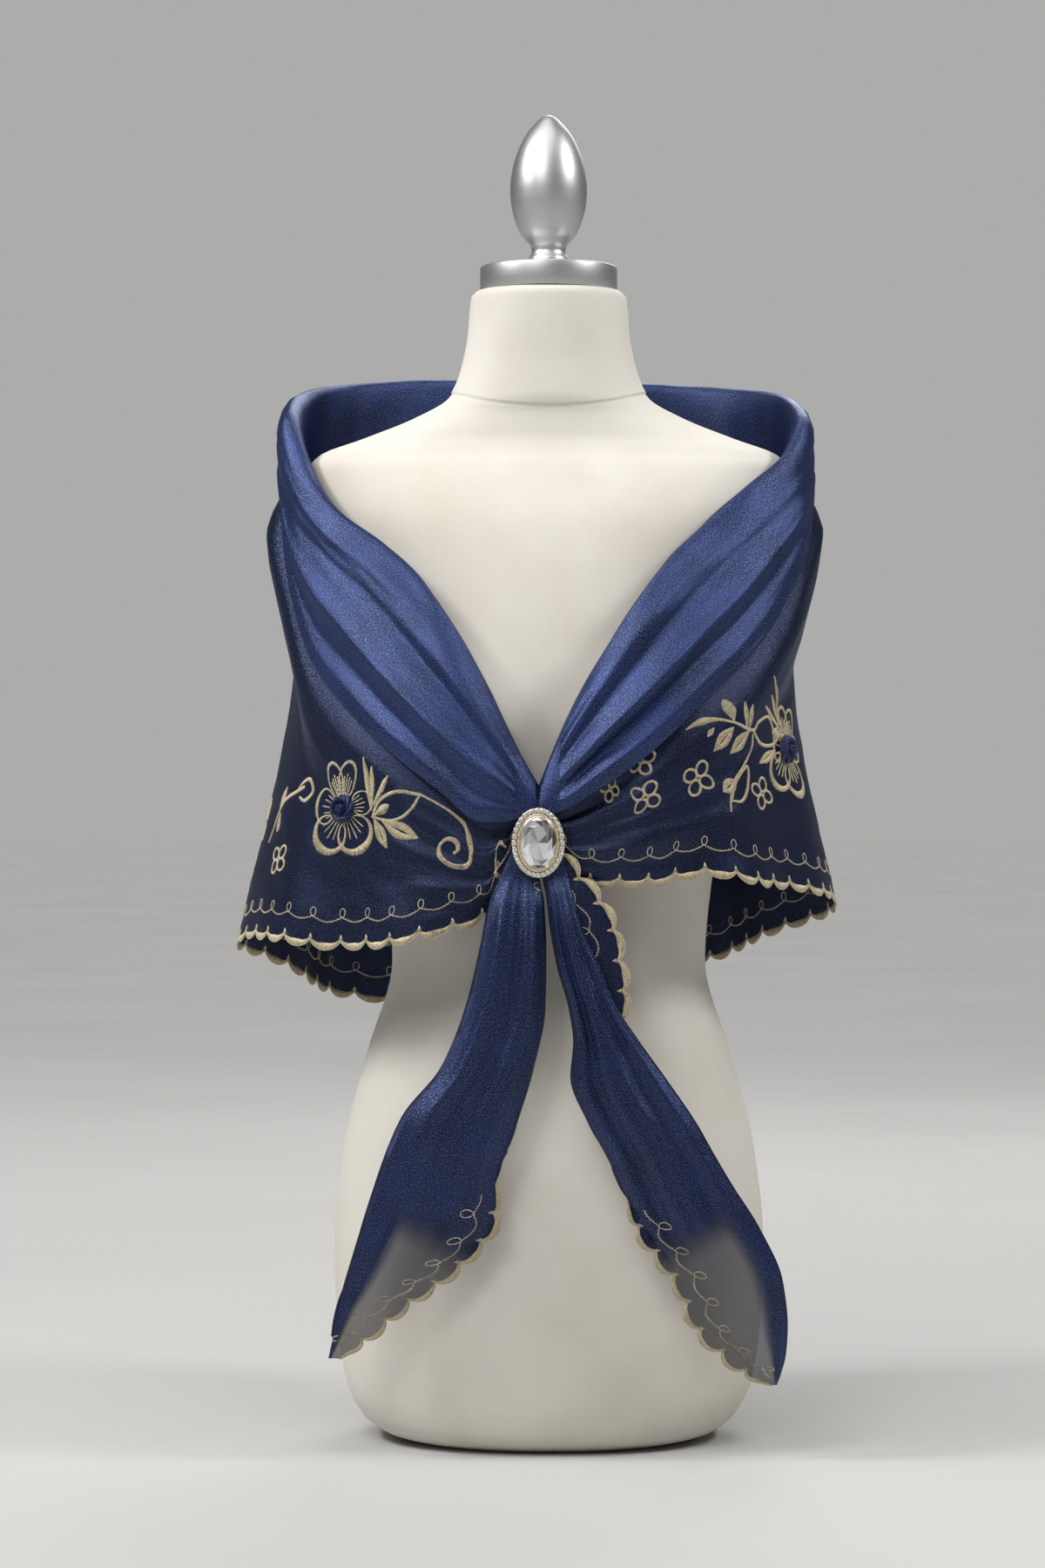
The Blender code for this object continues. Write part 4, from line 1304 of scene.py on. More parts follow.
@dataclass
class Shoulders:
    """The middle of the shawl, which stands round the neck and hangs over the shoulders."""

    meet_turn: float = 3.55
    meet_radius: float = 132.0
    seam_turns: tuple[float, float] = (84.0, 276.0)
    seam_gap: float = 0.3
    wall: float = 0.3
    stops: tuple[int, ...] = (0, 2, 3, 4, 6, 9, 10, 11, 12, 13, 15, 18, 22)
    spans: tuple[int, ...] = (4, 3, 3, 13, 20, 2, 2, 2, 3, 8, 12, 15)
    skirt_row: int = 13
    hem_row: int = 22
    layer_gap: float = 4.0
    least_tuck: float = 3.0
    step_in: float = 3.0
    step_down: float = 16.0
    step_is_open_at: float = -10.0
    roll_fall: float = 0.55
    pressed_turn: float = 6.0
    pleat_skew: float = 0.6
    flute_power: float = 1.3
    full_scallop_turn: float = 10.0
    wrinkle: float = 1.5
    wrinkle_shares: tuple[float, float, float] = (0.75, 0.4, 0.35)
    wrinkles_grow: tuple[float, float] = (4, 14)
    gathers_at: float = 16
    gathers_width: float = 15
    firm_rows: float = 3.0
    one_layer_rows: tuple[float, float] = (9.0, 14.0)
    tuck_row: float = 11.0
    tuck_width: float = 2.6
    tucked_until: float = 110.0
    tucked_from: float = 250.0
    flat_width: float = 0.60
    flat_length: float = 1.30
    flat_area: float = 0.62

    def __post_init__(self) -> None:
        """Lay out the lines of the cloth."""
        self.table = Table(CUTS)
        self.row_of = [0.0]
        for start, stop, count in zip(self.stops, self.stops[1:], self.spans):
            self.row_of += [start + (stop - start) * (k + 1) / count for k in range(count)]
        self.turns = self.columns()
        self.rows = [self.line(turn) for turn in self.turns]
        lines = [row[::-1] for row in self.rows]
        outward = [(line[0] - line[2]).normalized() for line in lines]
        self.surface = ClothSurface(lines, outward, self.fullness)

    def fullness(self, scallop: float) -> float:
        """Give a scallop's share of its full depth, which fades towards the brooch.

        Args:
            scallop: The place along the hem, in scallops.

        Returns:
            The share.
        """
        k = min(max(int(scallop * SCALLOP.steps), 0), len(self.turns) - 1)
        away = min(self.turns[k] - self.meet_turn, 360 + self.meet_turn - self.turns[k])
        return min(1.0, max(0.0, away) / self.full_scallop_turn)

    def hem_point(self, turn: float) -> Vector:
        """Find the lowest point of the plain cloth at an angle, before the scallops."""
        cut = self.table.read(turn)
        return on_polar(turn, cut.hem_r * MM, cut.hem_z * MM)

    def columns(self) -> list[float]:
        """Lay out the angles of the upright lines, a fixed number for each scallop.

        Returns:
            The angles, which stand closest together in front.
        """
        stops = [self.meet_turn, *self.seam_turns, 360 + self.meet_turn]
        turns: list[float] = []
        for start, end in zip(stops, stops[1:]):
            ends = evenly_spaced(self.hem_point, start, end, SCALLOP.width * MM)
            for a, b in zip(ends, ends[1:]):
                turns += [a + (b - a) * k / SCALLOP.steps for k in range(SCALLOP.steps)]
        half_gap = math.degrees(self.seam_gap / 2 / self.meet_radius)
        return [turns[0] + half_gap, *turns[1:], stops[-1] - half_gap]

    def crease(self, cut: Cut) -> list[Flat]:
        """Lead the cloth under the roll, up behind it and down again, or down a soft step.

        Args:
            cut: The cut that it belongs to.

        Returns:
            Distances from the axis and heights, in mm.
        """
        tuck = max(cut.tuck, self.least_tuck)
        rise = 0.3 * self.layer_gap
        folded = [
            (0.0, 0.0), (0.5 * self.layer_gap, -rise), (self.layer_gap, tuck),
            (1.5 * self.layer_gap, tuck + rise), (2 * self.layer_gap, tuck - 1),
        ]
        opened = min(1.0, max(0.0, cut.tuck / self.step_is_open_at))
        points = []
        for k, (back, up) in enumerate(folded):
            share = k / (len(folded) - 1)
            back += opened * (self.step_in * share - back)
            up += opened * (-self.step_down * share - up)
            points.append((cut.crease_r - back, cut.crease_z + up))
        return points

    def profile(self, turn: float) -> list[Vector]:
        """Draw the smooth cut at an angle.

        Args:
            turn: The angle from the front.

        Returns:
            Distances from the axis and heights, in metres.
        """
        cut = self.table.read(turn)
        drop, half = self.roll_fall * cut.band, cut.band / 2
        named = [
            (cut.lip_r, cut.lip_z), (cut.edge_r - half, cut.edge_z - drop), (cut.edge_r, cut.edge_z),
            (cut.edge_r + half, cut.edge_z - drop), (cut.roll_r, cut.roll_z - drop), *self.crease(cut),
            (cut.arm_r, cut.arm_z), (cut.waist_r, cut.waist_z), (cut.hem_r, cut.hem_z),
        ]
        return curve_through([Vector(p) * MM for p in named], self.spans)

    def wrinkles(self, turn: float, row: float, away: float) -> float:
        """Find how far fine wrinkles push the cloth out, in mm.

        Args:
            turn: The angle.
            row: The row of the cut, on the scale of the pleats' rows.
            away: The angle from the brooch.

        Returns:
            The push, which is 0 at the brooch.
        """
        along = noise.noise(Vector((turn / 26, row * 1.5 + turn / 34, 3.7)))
        fine = noise.noise(Vector((turn / 9, row * 2.6 + turn / 15, 8.1)))
        gathered = math.sin(row * 6.5 + 1.5 * math.sin(turn / 11))
        gathered *= bell(away - self.gathers_at, self.gathers_width)
        broad, narrow, waves = self.wrinkle_shares
        push = broad * along + narrow * fine + waves * gathered
        return smooth(*self.wrinkles_grow, away) * self.wrinkle * push

    def line(self, turn: float) -> list[Vector]:
        """Find the cloth's points at one angle, from the lip down to the hem.

        Args:
            turn: The angle from the front.

        Returns:
            The points.
        """
        profile = self.profile(turn)
        away = {Side.LEFT: turn - self.meet_turn, Side.RIGHT: 360 + self.meet_turn - turn}
        nearest = min(away.values())
        swells = []
        for pleat in [*PLEATS, *RIDGES]:
            share = (away[pleat.side] - self.pressed_turn) / (pleat.fade - self.pressed_turn)
            if 0 < share < 1:
                swells.append((pleat, pleat.depth * math.sin(math.pi * share**self.pleat_skew)))
        flutes = sum(f.depth * bell(turn - f.turn, f.half_angle) for f in FLUTES)
        found = []
        for k, (r, z) in enumerate(profile):
            row = self.row_of[k]
            down = max(0.0, (row - self.skirt_row) / (self.hem_row - self.skirt_row))
            push = flutes * down**self.flute_power
            push += sum(depth * bell(row - pleat.row, pleat.width) for pleat, depth in swells)
            # Behind the roll the layers lie too close for wrinkles.
            tucked = turn < self.tucked_until or turn > self.tucked_from
            calm = 1 - bell(row - self.tuck_row, self.tuck_width) if tucked else 1.0
            calm *= smooth(0.0, self.firm_rows, row)
            before, after = profile[max(k - 1, 0)], profile[min(k + 1, len(profile) - 1)]
            way = Vector((before.y - after.y, after.x - before.x)).normalized()
            ripple = self.wrinkles(turn, row, nearest) * calm
            found.append(on_polar(turn, r + (push + ripple * way.x) * MM, z + ripple * way.y * MM))
        return found

    def cloth(self) -> bpy.types.Object:
        """Make the cloth, scallops and all, as one sheet.

        Returns:
            The piece.
        """
        made = ClothMesh()
        arcs = lengths_along([row[-1] for row in self.rows])
        # Painted light and shade: the upper rows, where the cloth lies doubled, are painted lighter, and the
        # rows below the roll are painted darker.
        doubled = [1 - smooth(*self.one_layer_rows, row_at) for row_at in self.row_of] + [0.0] * 3
        joined = []
        for k, (arc, row) in enumerate(zip(arcs, self.rows)):
            heights = self.surface.along[k][::-1]
            edge = self.surface.contour(min(k / SCALLOP.steps, self.surface.scallops - 1e-4))
            skirt = [row[-1].lerp(edge, n / 3) for n in (1, 2, 3)]
            places = [(arc, h) for h in heights] + [(arc, -(p - row[-1]).length) for p in skirt]
            joined.append(made.line([*row, *skirt], places, doubled))
        made.join(joined)
        return made.build("shawl_shoulders", NAVY_ORGANZA, self.wall)

    def build(self) -> bpy.types.Object:
        """Make the cloth and dress it.

        Returns:
            The piece.
        """
        piece = self.cloth()
        return dress(piece, "organza", "shawl_left_front", "shawl_back", "shawl_right_front")


class TailLevel(NamedTuple):
    """One level of a tail, in mm: its side edges, and what is turned behind each."""

    height: float
    outer: float
    inner: float
    border: float
    end: float
    apart: float
    front: float
    bow: float


class TailRidge(NamedTuple):
    """A ridge down a tail, from 0 at its outer edge to 1 at its inner edge."""

    across: float
    width: float
    depth: float


LEFT_LEVELS = [
    TailLevel(476, -24, -9.6, 5, 3, 2.5, -142.0, 0.5),
    TailLevel(458, -28, -9.6, 9, 4, 2.5, -142.5, 1.0),
    TailLevel(440, -36, -8.2, 15, 5, 3.0, -142.3, 1.2),
    TailLevel(417, -46, -4, 22, 7, 4.0, -146.4, 4.5),
    TailLevel(386, -52, -2.6, 33, 10, 5.0, -149, 7),
    TailLevel(341, -63, -3.4, 44, 14, 5.0, -149, 8),
    TailLevel(296, -82, -12, 52, 22, 5.0, -148, 9),
    TailLevel(262, -109, -22, 34, 28, 5.0, -146, 9),
    TailLevel(240, -120, -29, 17, 25, 6.5, -145, 9),
    TailLevel(224, -126, -38, 0, 24, 6.5, -143, 9),
    TailLevel(181, -140, -44, 0, 22, 5.0, -138, 8),
    TailLevel(150, -149, -69, 0, 15, 5.0, -134, 7),
    TailLevel(118, -158, -112, 0, 4, 3.5, -129, 5),
    TailLevel(96, -162, -137, 0, 0.8, 2.0, -126, 2),
    TailLevel(77, -166, -158, 0, 0.5, 2.5, -123, 0),
]
RIGHT_LEVELS = [
    TailLevel(476, 6, -7.8, 6, 0, 2.5, -142.0, 0.5),
    TailLevel(458, 9, -7.6, 12, 0, 2.5, -142.5, 1.0),
    TailLevel(440, 13, -6.2, 22, 0, 3.0, -142.8, 1.5),
    TailLevel(425, 17, -3, 31, 0, 4.0, -146, 4),
    TailLevel(400, 24, 0, 43, 0, 5.0, -149, 5),
    TailLevel(372, 37, 5, 43, 0, 5.0, -149, 6),
    TailLevel(341, 50, 13.6, 37, 0, 5.0, -149, 7),
    TailLevel(315, 67, 17, 26, 0, 5.0, -148, 8),
    TailLevel(290, 85, 15, 34, 0, 5.0, -147, 9),
    TailLevel(255, 109, 28, 28, 0, 5.0, -145, 10),
    TailLevel(232, 122, 41, 15, 0, 5.0, -143, 10),
    TailLevel(210, 135, 52, 0, 0, 5.0, -141, 10),
    TailLevel(175, 157, 69, 0, 0, 5.0, -137, 10),
    TailLevel(136, 174, 97, 0, 0, 5.0, -131, 9),
    TailLevel(101, 178, 113, 0, 0, 5.0, -127, 7),
    TailLevel(82, 177, 132, 0, 0, 5.0, -125, 4),
    TailLevel(65, 173, 153, 0, 0, 5.0, -123, 1),
    TailLevel(57, 170, 166, 0, 0, 5.0, -122, 0),
]
LEFT_RIDGES = [
    TailRidge(0.20, 0.09, 4.5), TailRidge(0.38, 0.06, -2.0), TailRidge(0.55, 0.10, -3.5),
    TailRidge(0.70, 0.05, 2.2), TailRidge(0.84, 0.07, 4.0),
]
RIGHT_RIDGES = [
    TailRidge(0.14, 0.07, 2.5), TailRidge(0.30, 0.10, -3.5), TailRidge(0.46, 0.05, 2.0),
    TailRidge(0.62, 0.09, 4.0), TailRidge(0.76, 0.05, -2.0), TailRidge(0.90, 0.07, 4.5),
]


@dataclass
class Tail:
    """One hanging end of the shawl, its border turned behind it until it emerges."""

    name: str
    node: str
    levels: list[TailLevel]
    ridges: list[TailRidge]
    flat: Flat
    flat_area: float
    columns: int = 30
    border_columns: int = 14
    end_columns: int = 8
    end_behind: float = 3.0
    least_border: float = 2.0
    last_reach: float = 3.0
    pressed_drop: float = 34.0
    opening_drop: float = 40.0
    full_ridge_width: float = 45.0
    sheer_from: float = 206.0
    sheer_to: float = 174.0
    sheer_rise: float = 34.0
    sheer_across: tuple[float, float] = (0.12, 0.34)
    map_offset: float = 0.8
    ripple: float = 1.1
    # How far the tails are painted lighter, as painted light on two layers.
    doubled_lit_share: float = 0.55
    wall: float = 0.3

    def __post_init__(self) -> None:
        """Lay out the levels of the tail and the lines that run in from its edge."""
        self.table = Table(self.levels)
        self.top, tip = self.levels[0].height, self.levels[-1].height
        self.inward = 1 if self.levels[-1].inner > self.levels[-1].outer else -1
        drops = evenly_spaced(self.border_place, 0, self.top - tip, SCALLOP.width * MM)
        coarse = [self.table.read(self.top - drop) for drop in drops]
        self.last = sum(level.border > self.least_border for level in coarse)
        reaches = [level.border for level in coarse[: self.last - 1]] + [self.last_reach, 0.0]
        self.rows = []
        for i, (a, b) in enumerate(zip(drops, drops[1:])):
            for k in range(SCALLOP.steps):
                share = k / SCALLOP.steps
                reach = 0.0
                if i < self.last:
                    reach = reaches[i] + (reaches[i + 1] - reaches[i]) * share
                self.rows.append((a + (b - a) * share, reach))
        self.rows.append((drops[-1], 0.0))
        self.fronts = [self.front_line(drop, reach) for drop, reach in self.rows]
        self.borders = [self.border_line(drop, reach) for drop, reach in self.rows]
        split = self.last * SCALLOP.steps
        layers = zip(self.borders[:split], self.fronts[:split])
        hidden = [border[::-1] + front[::-1] for border, front in layers]
        self.edges = [
            self.edge_surface(hidden[: split - SCALLOP.steps + 1], -self.inward),
            self.edge_surface([front[::-1] for front in self.fronts[split:]], self.inward),
        ]

    def border_place(self, drop: float) -> Vector:
        """Find the border's free edge so far down, for spacing the scallops."""
        level = self.table.read(self.top - drop)
        return Vector((level.inner - self.inward * level.border, 0, self.top - drop)) * MM

    @staticmethod
    def fold_width(apart: float, reach: float) -> float:
        """Find how far a soft fold stands out beside the front layer, in mm."""
        return apart / 2 * min(1.0, reach / apart)

    def turned(
        self, fold_x: float, level: TailLevel, apart: float, reach: float, outward: int, columns: int
    ) -> list[Vector]:
        """Lead the cloth round a soft fold and behind the front layer.

        Args:
            fold_x: The fold's outermost place, in mm.
            level: The level of the tail.
            apart: How far behind the front layer the cloth then lies.
            reach: How far it comes back.
            outward: The way along X that the fold faces.
            columns: The number of points.

        Returns:
            The points, from the front layer on.
        """
        quarter = math.pi / 4 * apart
        total = reach + 2 * quarter * min(1.0, reach / apart)
        start = fold_x - outward * self.fold_width(apart, reach)
        found = []
        for k in range(1, columns + 1):
            stop = total * k / columns
            angle = min(math.pi, 2 * stop / apart)
            x = start + outward * (apart / 2 * math.sin(angle) - max(0.0, stop - 2 * quarter))
            y = level.front + apart / 2 * (1 - math.cos(angle))
            found.append(Vector((x, y, level.height)) * MM)
        return found

    def front_line(self, drop: float, reach: float) -> list[Vector]:
        """Find the front layer's points at one level, from its outer to its inner edge.

        Args:
            drop: How far down the level lies, in mm.
            reach: How much border is turned behind it there.

        Returns:
            The points.
        """
        level = self.table.read(self.top - drop)
        outer = level.outer
        if self.levels[0].end:
            outer += self.inward * self.fold_width(level.apart + self.end_behind, level.end)
        inner = level.inner - self.inward * self.fold_width(level.apart, reach)
        opened = min(1.0, max(0.0, (drop - self.pressed_drop) / self.opening_drop))
        spread = min(1.0, abs(inner - outer) / self.full_ridge_width) * opened
        line = []
        for j in range(self.columns + 1):
            t = j / self.columns
            y = level.front - level.bow * (1 - (2 * t - 1) ** 2)
            y -= sum(r.depth * spread * bell(t - r.across, r.width) for r in self.ridges)
            x = outer + (inner - outer) * t
            ripple = noise.noise(Vector((x / 11, level.height / 60, 5.3)))
            y += self.ripple * ripple * opened * math.sin(math.pi * t)
            line.append(Vector((x, y, level.height)) * MM)
        return line

    def border_line(self, drop: float, reach: float) -> list[Vector]:
        """Find the points of the border that is turned behind.

        Args:
            drop: How far down the level lies, in mm.
            reach: How much border is turned behind there.

        Returns:
            The points, from the fold to the border's free edge.
        """
        if reach <= 0:
            return []
        level = self.table.read(self.top - drop)
        return self.turned(level.inner, level, level.apart, reach, self.inward, self.border_columns)

    def edge_surface(self, lines: list[list[Vector]], away: int) -> ClothSurface:
        """Hold a stretch of scalloped edge and the cloth beside it.

        Args:
            lines: Lines that run in from the edge.
            away: The way along X that the edge faces.

        Returns:
            The surface.
        """
        edge = [line[0] for line in lines]
        outward = []
        for i in range(len(edge)):
            along = edge[min(i + 4, len(edge) - 1)] - edge[max(i - 4, 0)]
            way = Vector((-along.z, 0, along.x)).normalized()
            outward.append(way if way.x * away > 0 else -way)
        spans = (len(edge) - 1) // SCALLOP.steps
        return ClothSurface(lines, outward, lambda at: max(0.0, min(1.0, at, spans - at)))

    def veil(self, height: float, across: float) -> float:
        """Find how sheer the tail is at a height, and at a share of its width from the outer edge."""
        return smooth(self.sheer_from, self.sheer_to, height + self.sheer_rise * across)

    def build(self) -> bpy.types.Object:
        """Make the tail's cloth and dress it.

        Returns:
            The piece.
        """
        made = ClothMesh()
        split = self.last * SCALLOP.steps
        fronts = []
        for (drop, _), front in zip(self.rows, self.fronts):
            shares = [j / self.columns for j in range(len(front))]
            veil = [self.veil(self.top - drop, t) * smooth(*self.sheer_across, t) for t in shares]
            body = [self.doubled_lit_share * (1 - v) for v in veil]
            fronts.append(made.line(front, [(p.x, drop * MM) for p in front], body, veil))
        made.join(fronts)
        borders = []
        for (drop, _), front, border in zip(self.rows[:split], fronts, self.borders):
            places = [(p.x + 0.2, drop * MM) for p in border]
            borders.append([front[-1], *made.line(border, places)])
        made.join(borders)
        made.close(borders[-1], fronts[split][-1])
        if self.levels[0].end:
            self.add_end(made, fronts)
        for surface in self.edges:
            self.add_scallops(made, surface)
        piece = made.build(self.name, NAVY_ORGANZA, self.wall)
        return dress(piece, "organza", self.node)

    def add_end(self, made: ClothMesh, fronts: list[list[int]]) -> None:
        """Turn the shawl's short end behind the tail's outer edge.

        Args:
            made: The cloth in the making.
            fronts: The point numbers of the front layer's lines.
        """
        ends = []
        stop = len(self.rows) - 1 - SCALLOP.steps
        for (drop, _), front in zip(self.rows[:stop], fronts):
            level = self.table.read(self.top - drop)
            apart = level.apart + self.end_behind
            points = self.turned(level.outer, level, apart, level.end, -self.inward, self.end_columns)
            ends.append([front[0], *made.line(points, [(p.x + 0.4, drop * MM) for p in points])])
        made.join(ends)
        made.close(ends[-1], fronts[stop][0])

    def add_scallops(self, made: ClothMesh, surface: ClothSurface) -> None:
        """Add the scalloped strip outside an edge.

        Args:
            made: The cloth in the making.
            surface: The edge, and the cloth beside it.
        """
        joined = []
        for k, line in enumerate(surface.lines):
            edge = line[0]
            outer = surface.contour(min(k / SCALLOP.steps, surface.scallops - 1e-4))
            points = [edge.lerp(outer, n / 3) for n in range(4)]
            veil = self.veil(edge.z / MM, 1.0)
            places = [(edge.z + self.map_offset, (p - edge).length) for p in points]
            joined.append(made.line(points, places, 0.0, veil))
        made.join(joined)


def along_curve(points: Sequence[Flat], steps: int = 10) -> list[Vector]:
    """Draw a smooth curve through flat points, with so many spans in each stretch."""
    return curve_through([Vector(p) for p in points], [steps] * (len(points) - 1))


class Motif(Enum):
    """The kinds of motif that the embroidery is made of."""

    BLADE = "blade"
    LEAF = "leaf"
    DROP = "drop"
    BLOSSOM = "blossom"


class Sprig(NamedTuple):
    """One motif of a spray, in mm right of and above the spray's rosette."""

    motif: Motif
    x: float
    y: float
    length: float
    width: float
    lean: float


class Stem(NamedTuple):
    """A satin-stitched line through points, its width read along it."""

    points: list[Flat]
    widths: list[float]


class Petal(NamedTuple):
    """One petal of the large flower: its direction, reach and breadth."""

    lean: float
    reach: float
    breadth: float
    satin: float


@dataclass(frozen=True)
class Spray:
    """A large flower round a rosette, with what grows beside it."""

    petals: list[Petal]
    sprigs: list[Sprig]
    stems: list[Stem]


LEFT_SPRAY = Spray(
    petals=[
        Petal(108, 36, 15, 2.6), Petal(79, 36, 15, 2.6), Petal(178, 27, 27, 3.0),
        Petal(240, 36, 29, 6.6), Petal(300, 36, 29, 6.6), Petal(12, 27, 18, 1.6),
    ],
    sprigs=[
        Sprig(Motif.BLADE, 26, -2, 41, 4.2, 101), Sprig(Motif.BLADE, 26.5, 0, 31, 4.0, 92),
        Sprig(Motif.BLADE, 28, 2, 24, 4.4, 62), Sprig(Motif.DROP, 29, -6, 14, 7.5, 30),
        Sprig(Motif.LEAF, 28, -9, 26, 9, -60), Sprig(Motif.LEAF, 35, -10, 36, 12, -30),
        Sprig(Motif.BLOSSOM, -66, -44, 26, 1.7, 12), Sprig(Motif.LEAF, -78, 12, 20, 9, 248),
        Sprig(Motif.DROP, -82, -8, 15, 8, 268),
    ],
    stems=[
        Stem([(27, -7.5), (33, 5), (47, 10.5), (66, 5)], [2.4, 2.8, 2.8, 2.2]),
        Stem([(27, -7.5), (45, -11), (58, -6), (66, 5)], [1.8, 2.6, 2.8, 2.2]),
        Stem(
            [(66, 5), (83, -7), (98, -21), (108, -35), (114.5, -48), (108, -57), (95, -56), (84.5, -46),
             (83, -37.5), (89, -33.5), (96, -37), (97.5, -43.5), (94, -45.5)],
            [1.4, 1.4, 1.5, 1.8, 3.4, 6.4, 5.6, 4.6, 3.6, 3.0, 2.6, 3.4, 2.6],
        ),
        Stem([(-97, -30), (-88, -9), (-74, 3), (-47, 13)], [1.6, 2.2, 2.8, 2.4]),
        Stem(
            [(-58, 9), (-50, 16), (-40, 19), (-34, 10), (-43, 2.5), (-52, 5)],
            [1.6, 2.2, 3.0, 2.6, 3.0, 1.8],
        ),
        Stem([(171, -78), (157, -64), (149, -70), (150, -84), (160, -97)], [1.6, 2.6, 3.4, 3.6, 1.8]),
    ],
)
# The sprays that the camera doesn't see are the left one without what grows by the brooch.
HIDDEN_SPRAY = Spray(
    LEFT_SPRAY.petals, LEFT_SPRAY.sprigs,
    [*LEFT_SPRAY.stems[:3], Stem([(-84, -6), (-74, 3), (-47, 13)], [1.8, 2.8, 2.4]), LEFT_SPRAY.stems[4]],
)
RIGHT_SPRAY = Spray(
    petals=[
        Petal(176, 20, 26, 3.2), Petal(236, 37, 26, 6.0), Petal(292, 35, 28, 6.0),
        Petal(104, 32, 17, 2.6), Petal(70, 34, 17, 2.6), Petal(12, 26, 20, 2.4),
    ],
    sprigs=[
        Sprig(Motif.BLADE, -6, 15, 44, 4.2, 124), Sprig(Motif.BLADE, -5, 13, 36, 4.0, 138),
        Sprig(Motif.BLADE, -8, 12, 34, 3.6, 152), Sprig(Motif.DROP, -10, 10, 13, 7.5, 182),
        Sprig(Motif.DROP, -72, 11, 17, 11, 112), Sprig(Motif.BLADE, -56, 8, 19, 4.8, 84),
        Sprig(Motif.BLADE, -59, 8, 20, 4.4, 97), Sprig(Motif.LEAF, -73, 6, 27, 10, 231),
        Sprig(Motif.LEAF, -56, 7, 28, 10, 228), Sprig(Motif.LEAF, -90, 2, 9, 4, 230),
        Sprig(Motif.LEAF, -18, -4, 26, 8, 208), Sprig(Motif.LEAF, -70, -33, 17, 11, 222),
        Sprig(Motif.BLOSSOM, -103, -36, 28, 1.9, 24), Sprig(Motif.BLOSSOM, -148, -41, 27, 1.9, 16),
        Sprig(Motif.BLOSSOM, -149, -13, 23, 1.9, 70), Sprig(Motif.BLOSSOM, -184, -31, 21, 1.9, 30),
        Sprig(Motif.BLOSSOM, -41, -39, 26, 1.8, 28),
    ],
    stems=[
        Stem([(-4, 10), (-18, 9), (-30, 20), (-44, 15), (-50, 8), (-71, 10)], [2.2, 1.8, 2.2, 2.4, 2.6, 2.0]),
        Stem([(-71, 10), (-84, 9.5), (-97, 7), (-112, 2)], [1.5, 2.4, 5.8, 1.0]),
        Stem([(-50, 8), (-42, 0), (-31, -2), (-20, 1), (-10, 10)], [2.2, 2.4, 2.8, 2.4, 1.8]),
        Stem(
            [(-50, 5), (-52, -8), (-62, -22), (-71, -33), (-76, -46), (-78, -59)],
            [1.6, 1.6, 1.6, 1.7, 1.6, 1.3],
        ),
        Stem(
            [(-76, -50), (-70, -34), (-56, -20), (-58, -36), (-66, -48), (-76, -50)],
            [1.5, 2.2, 1.8, 2.4, 2.4, 1.5],
        ),
    ],
)


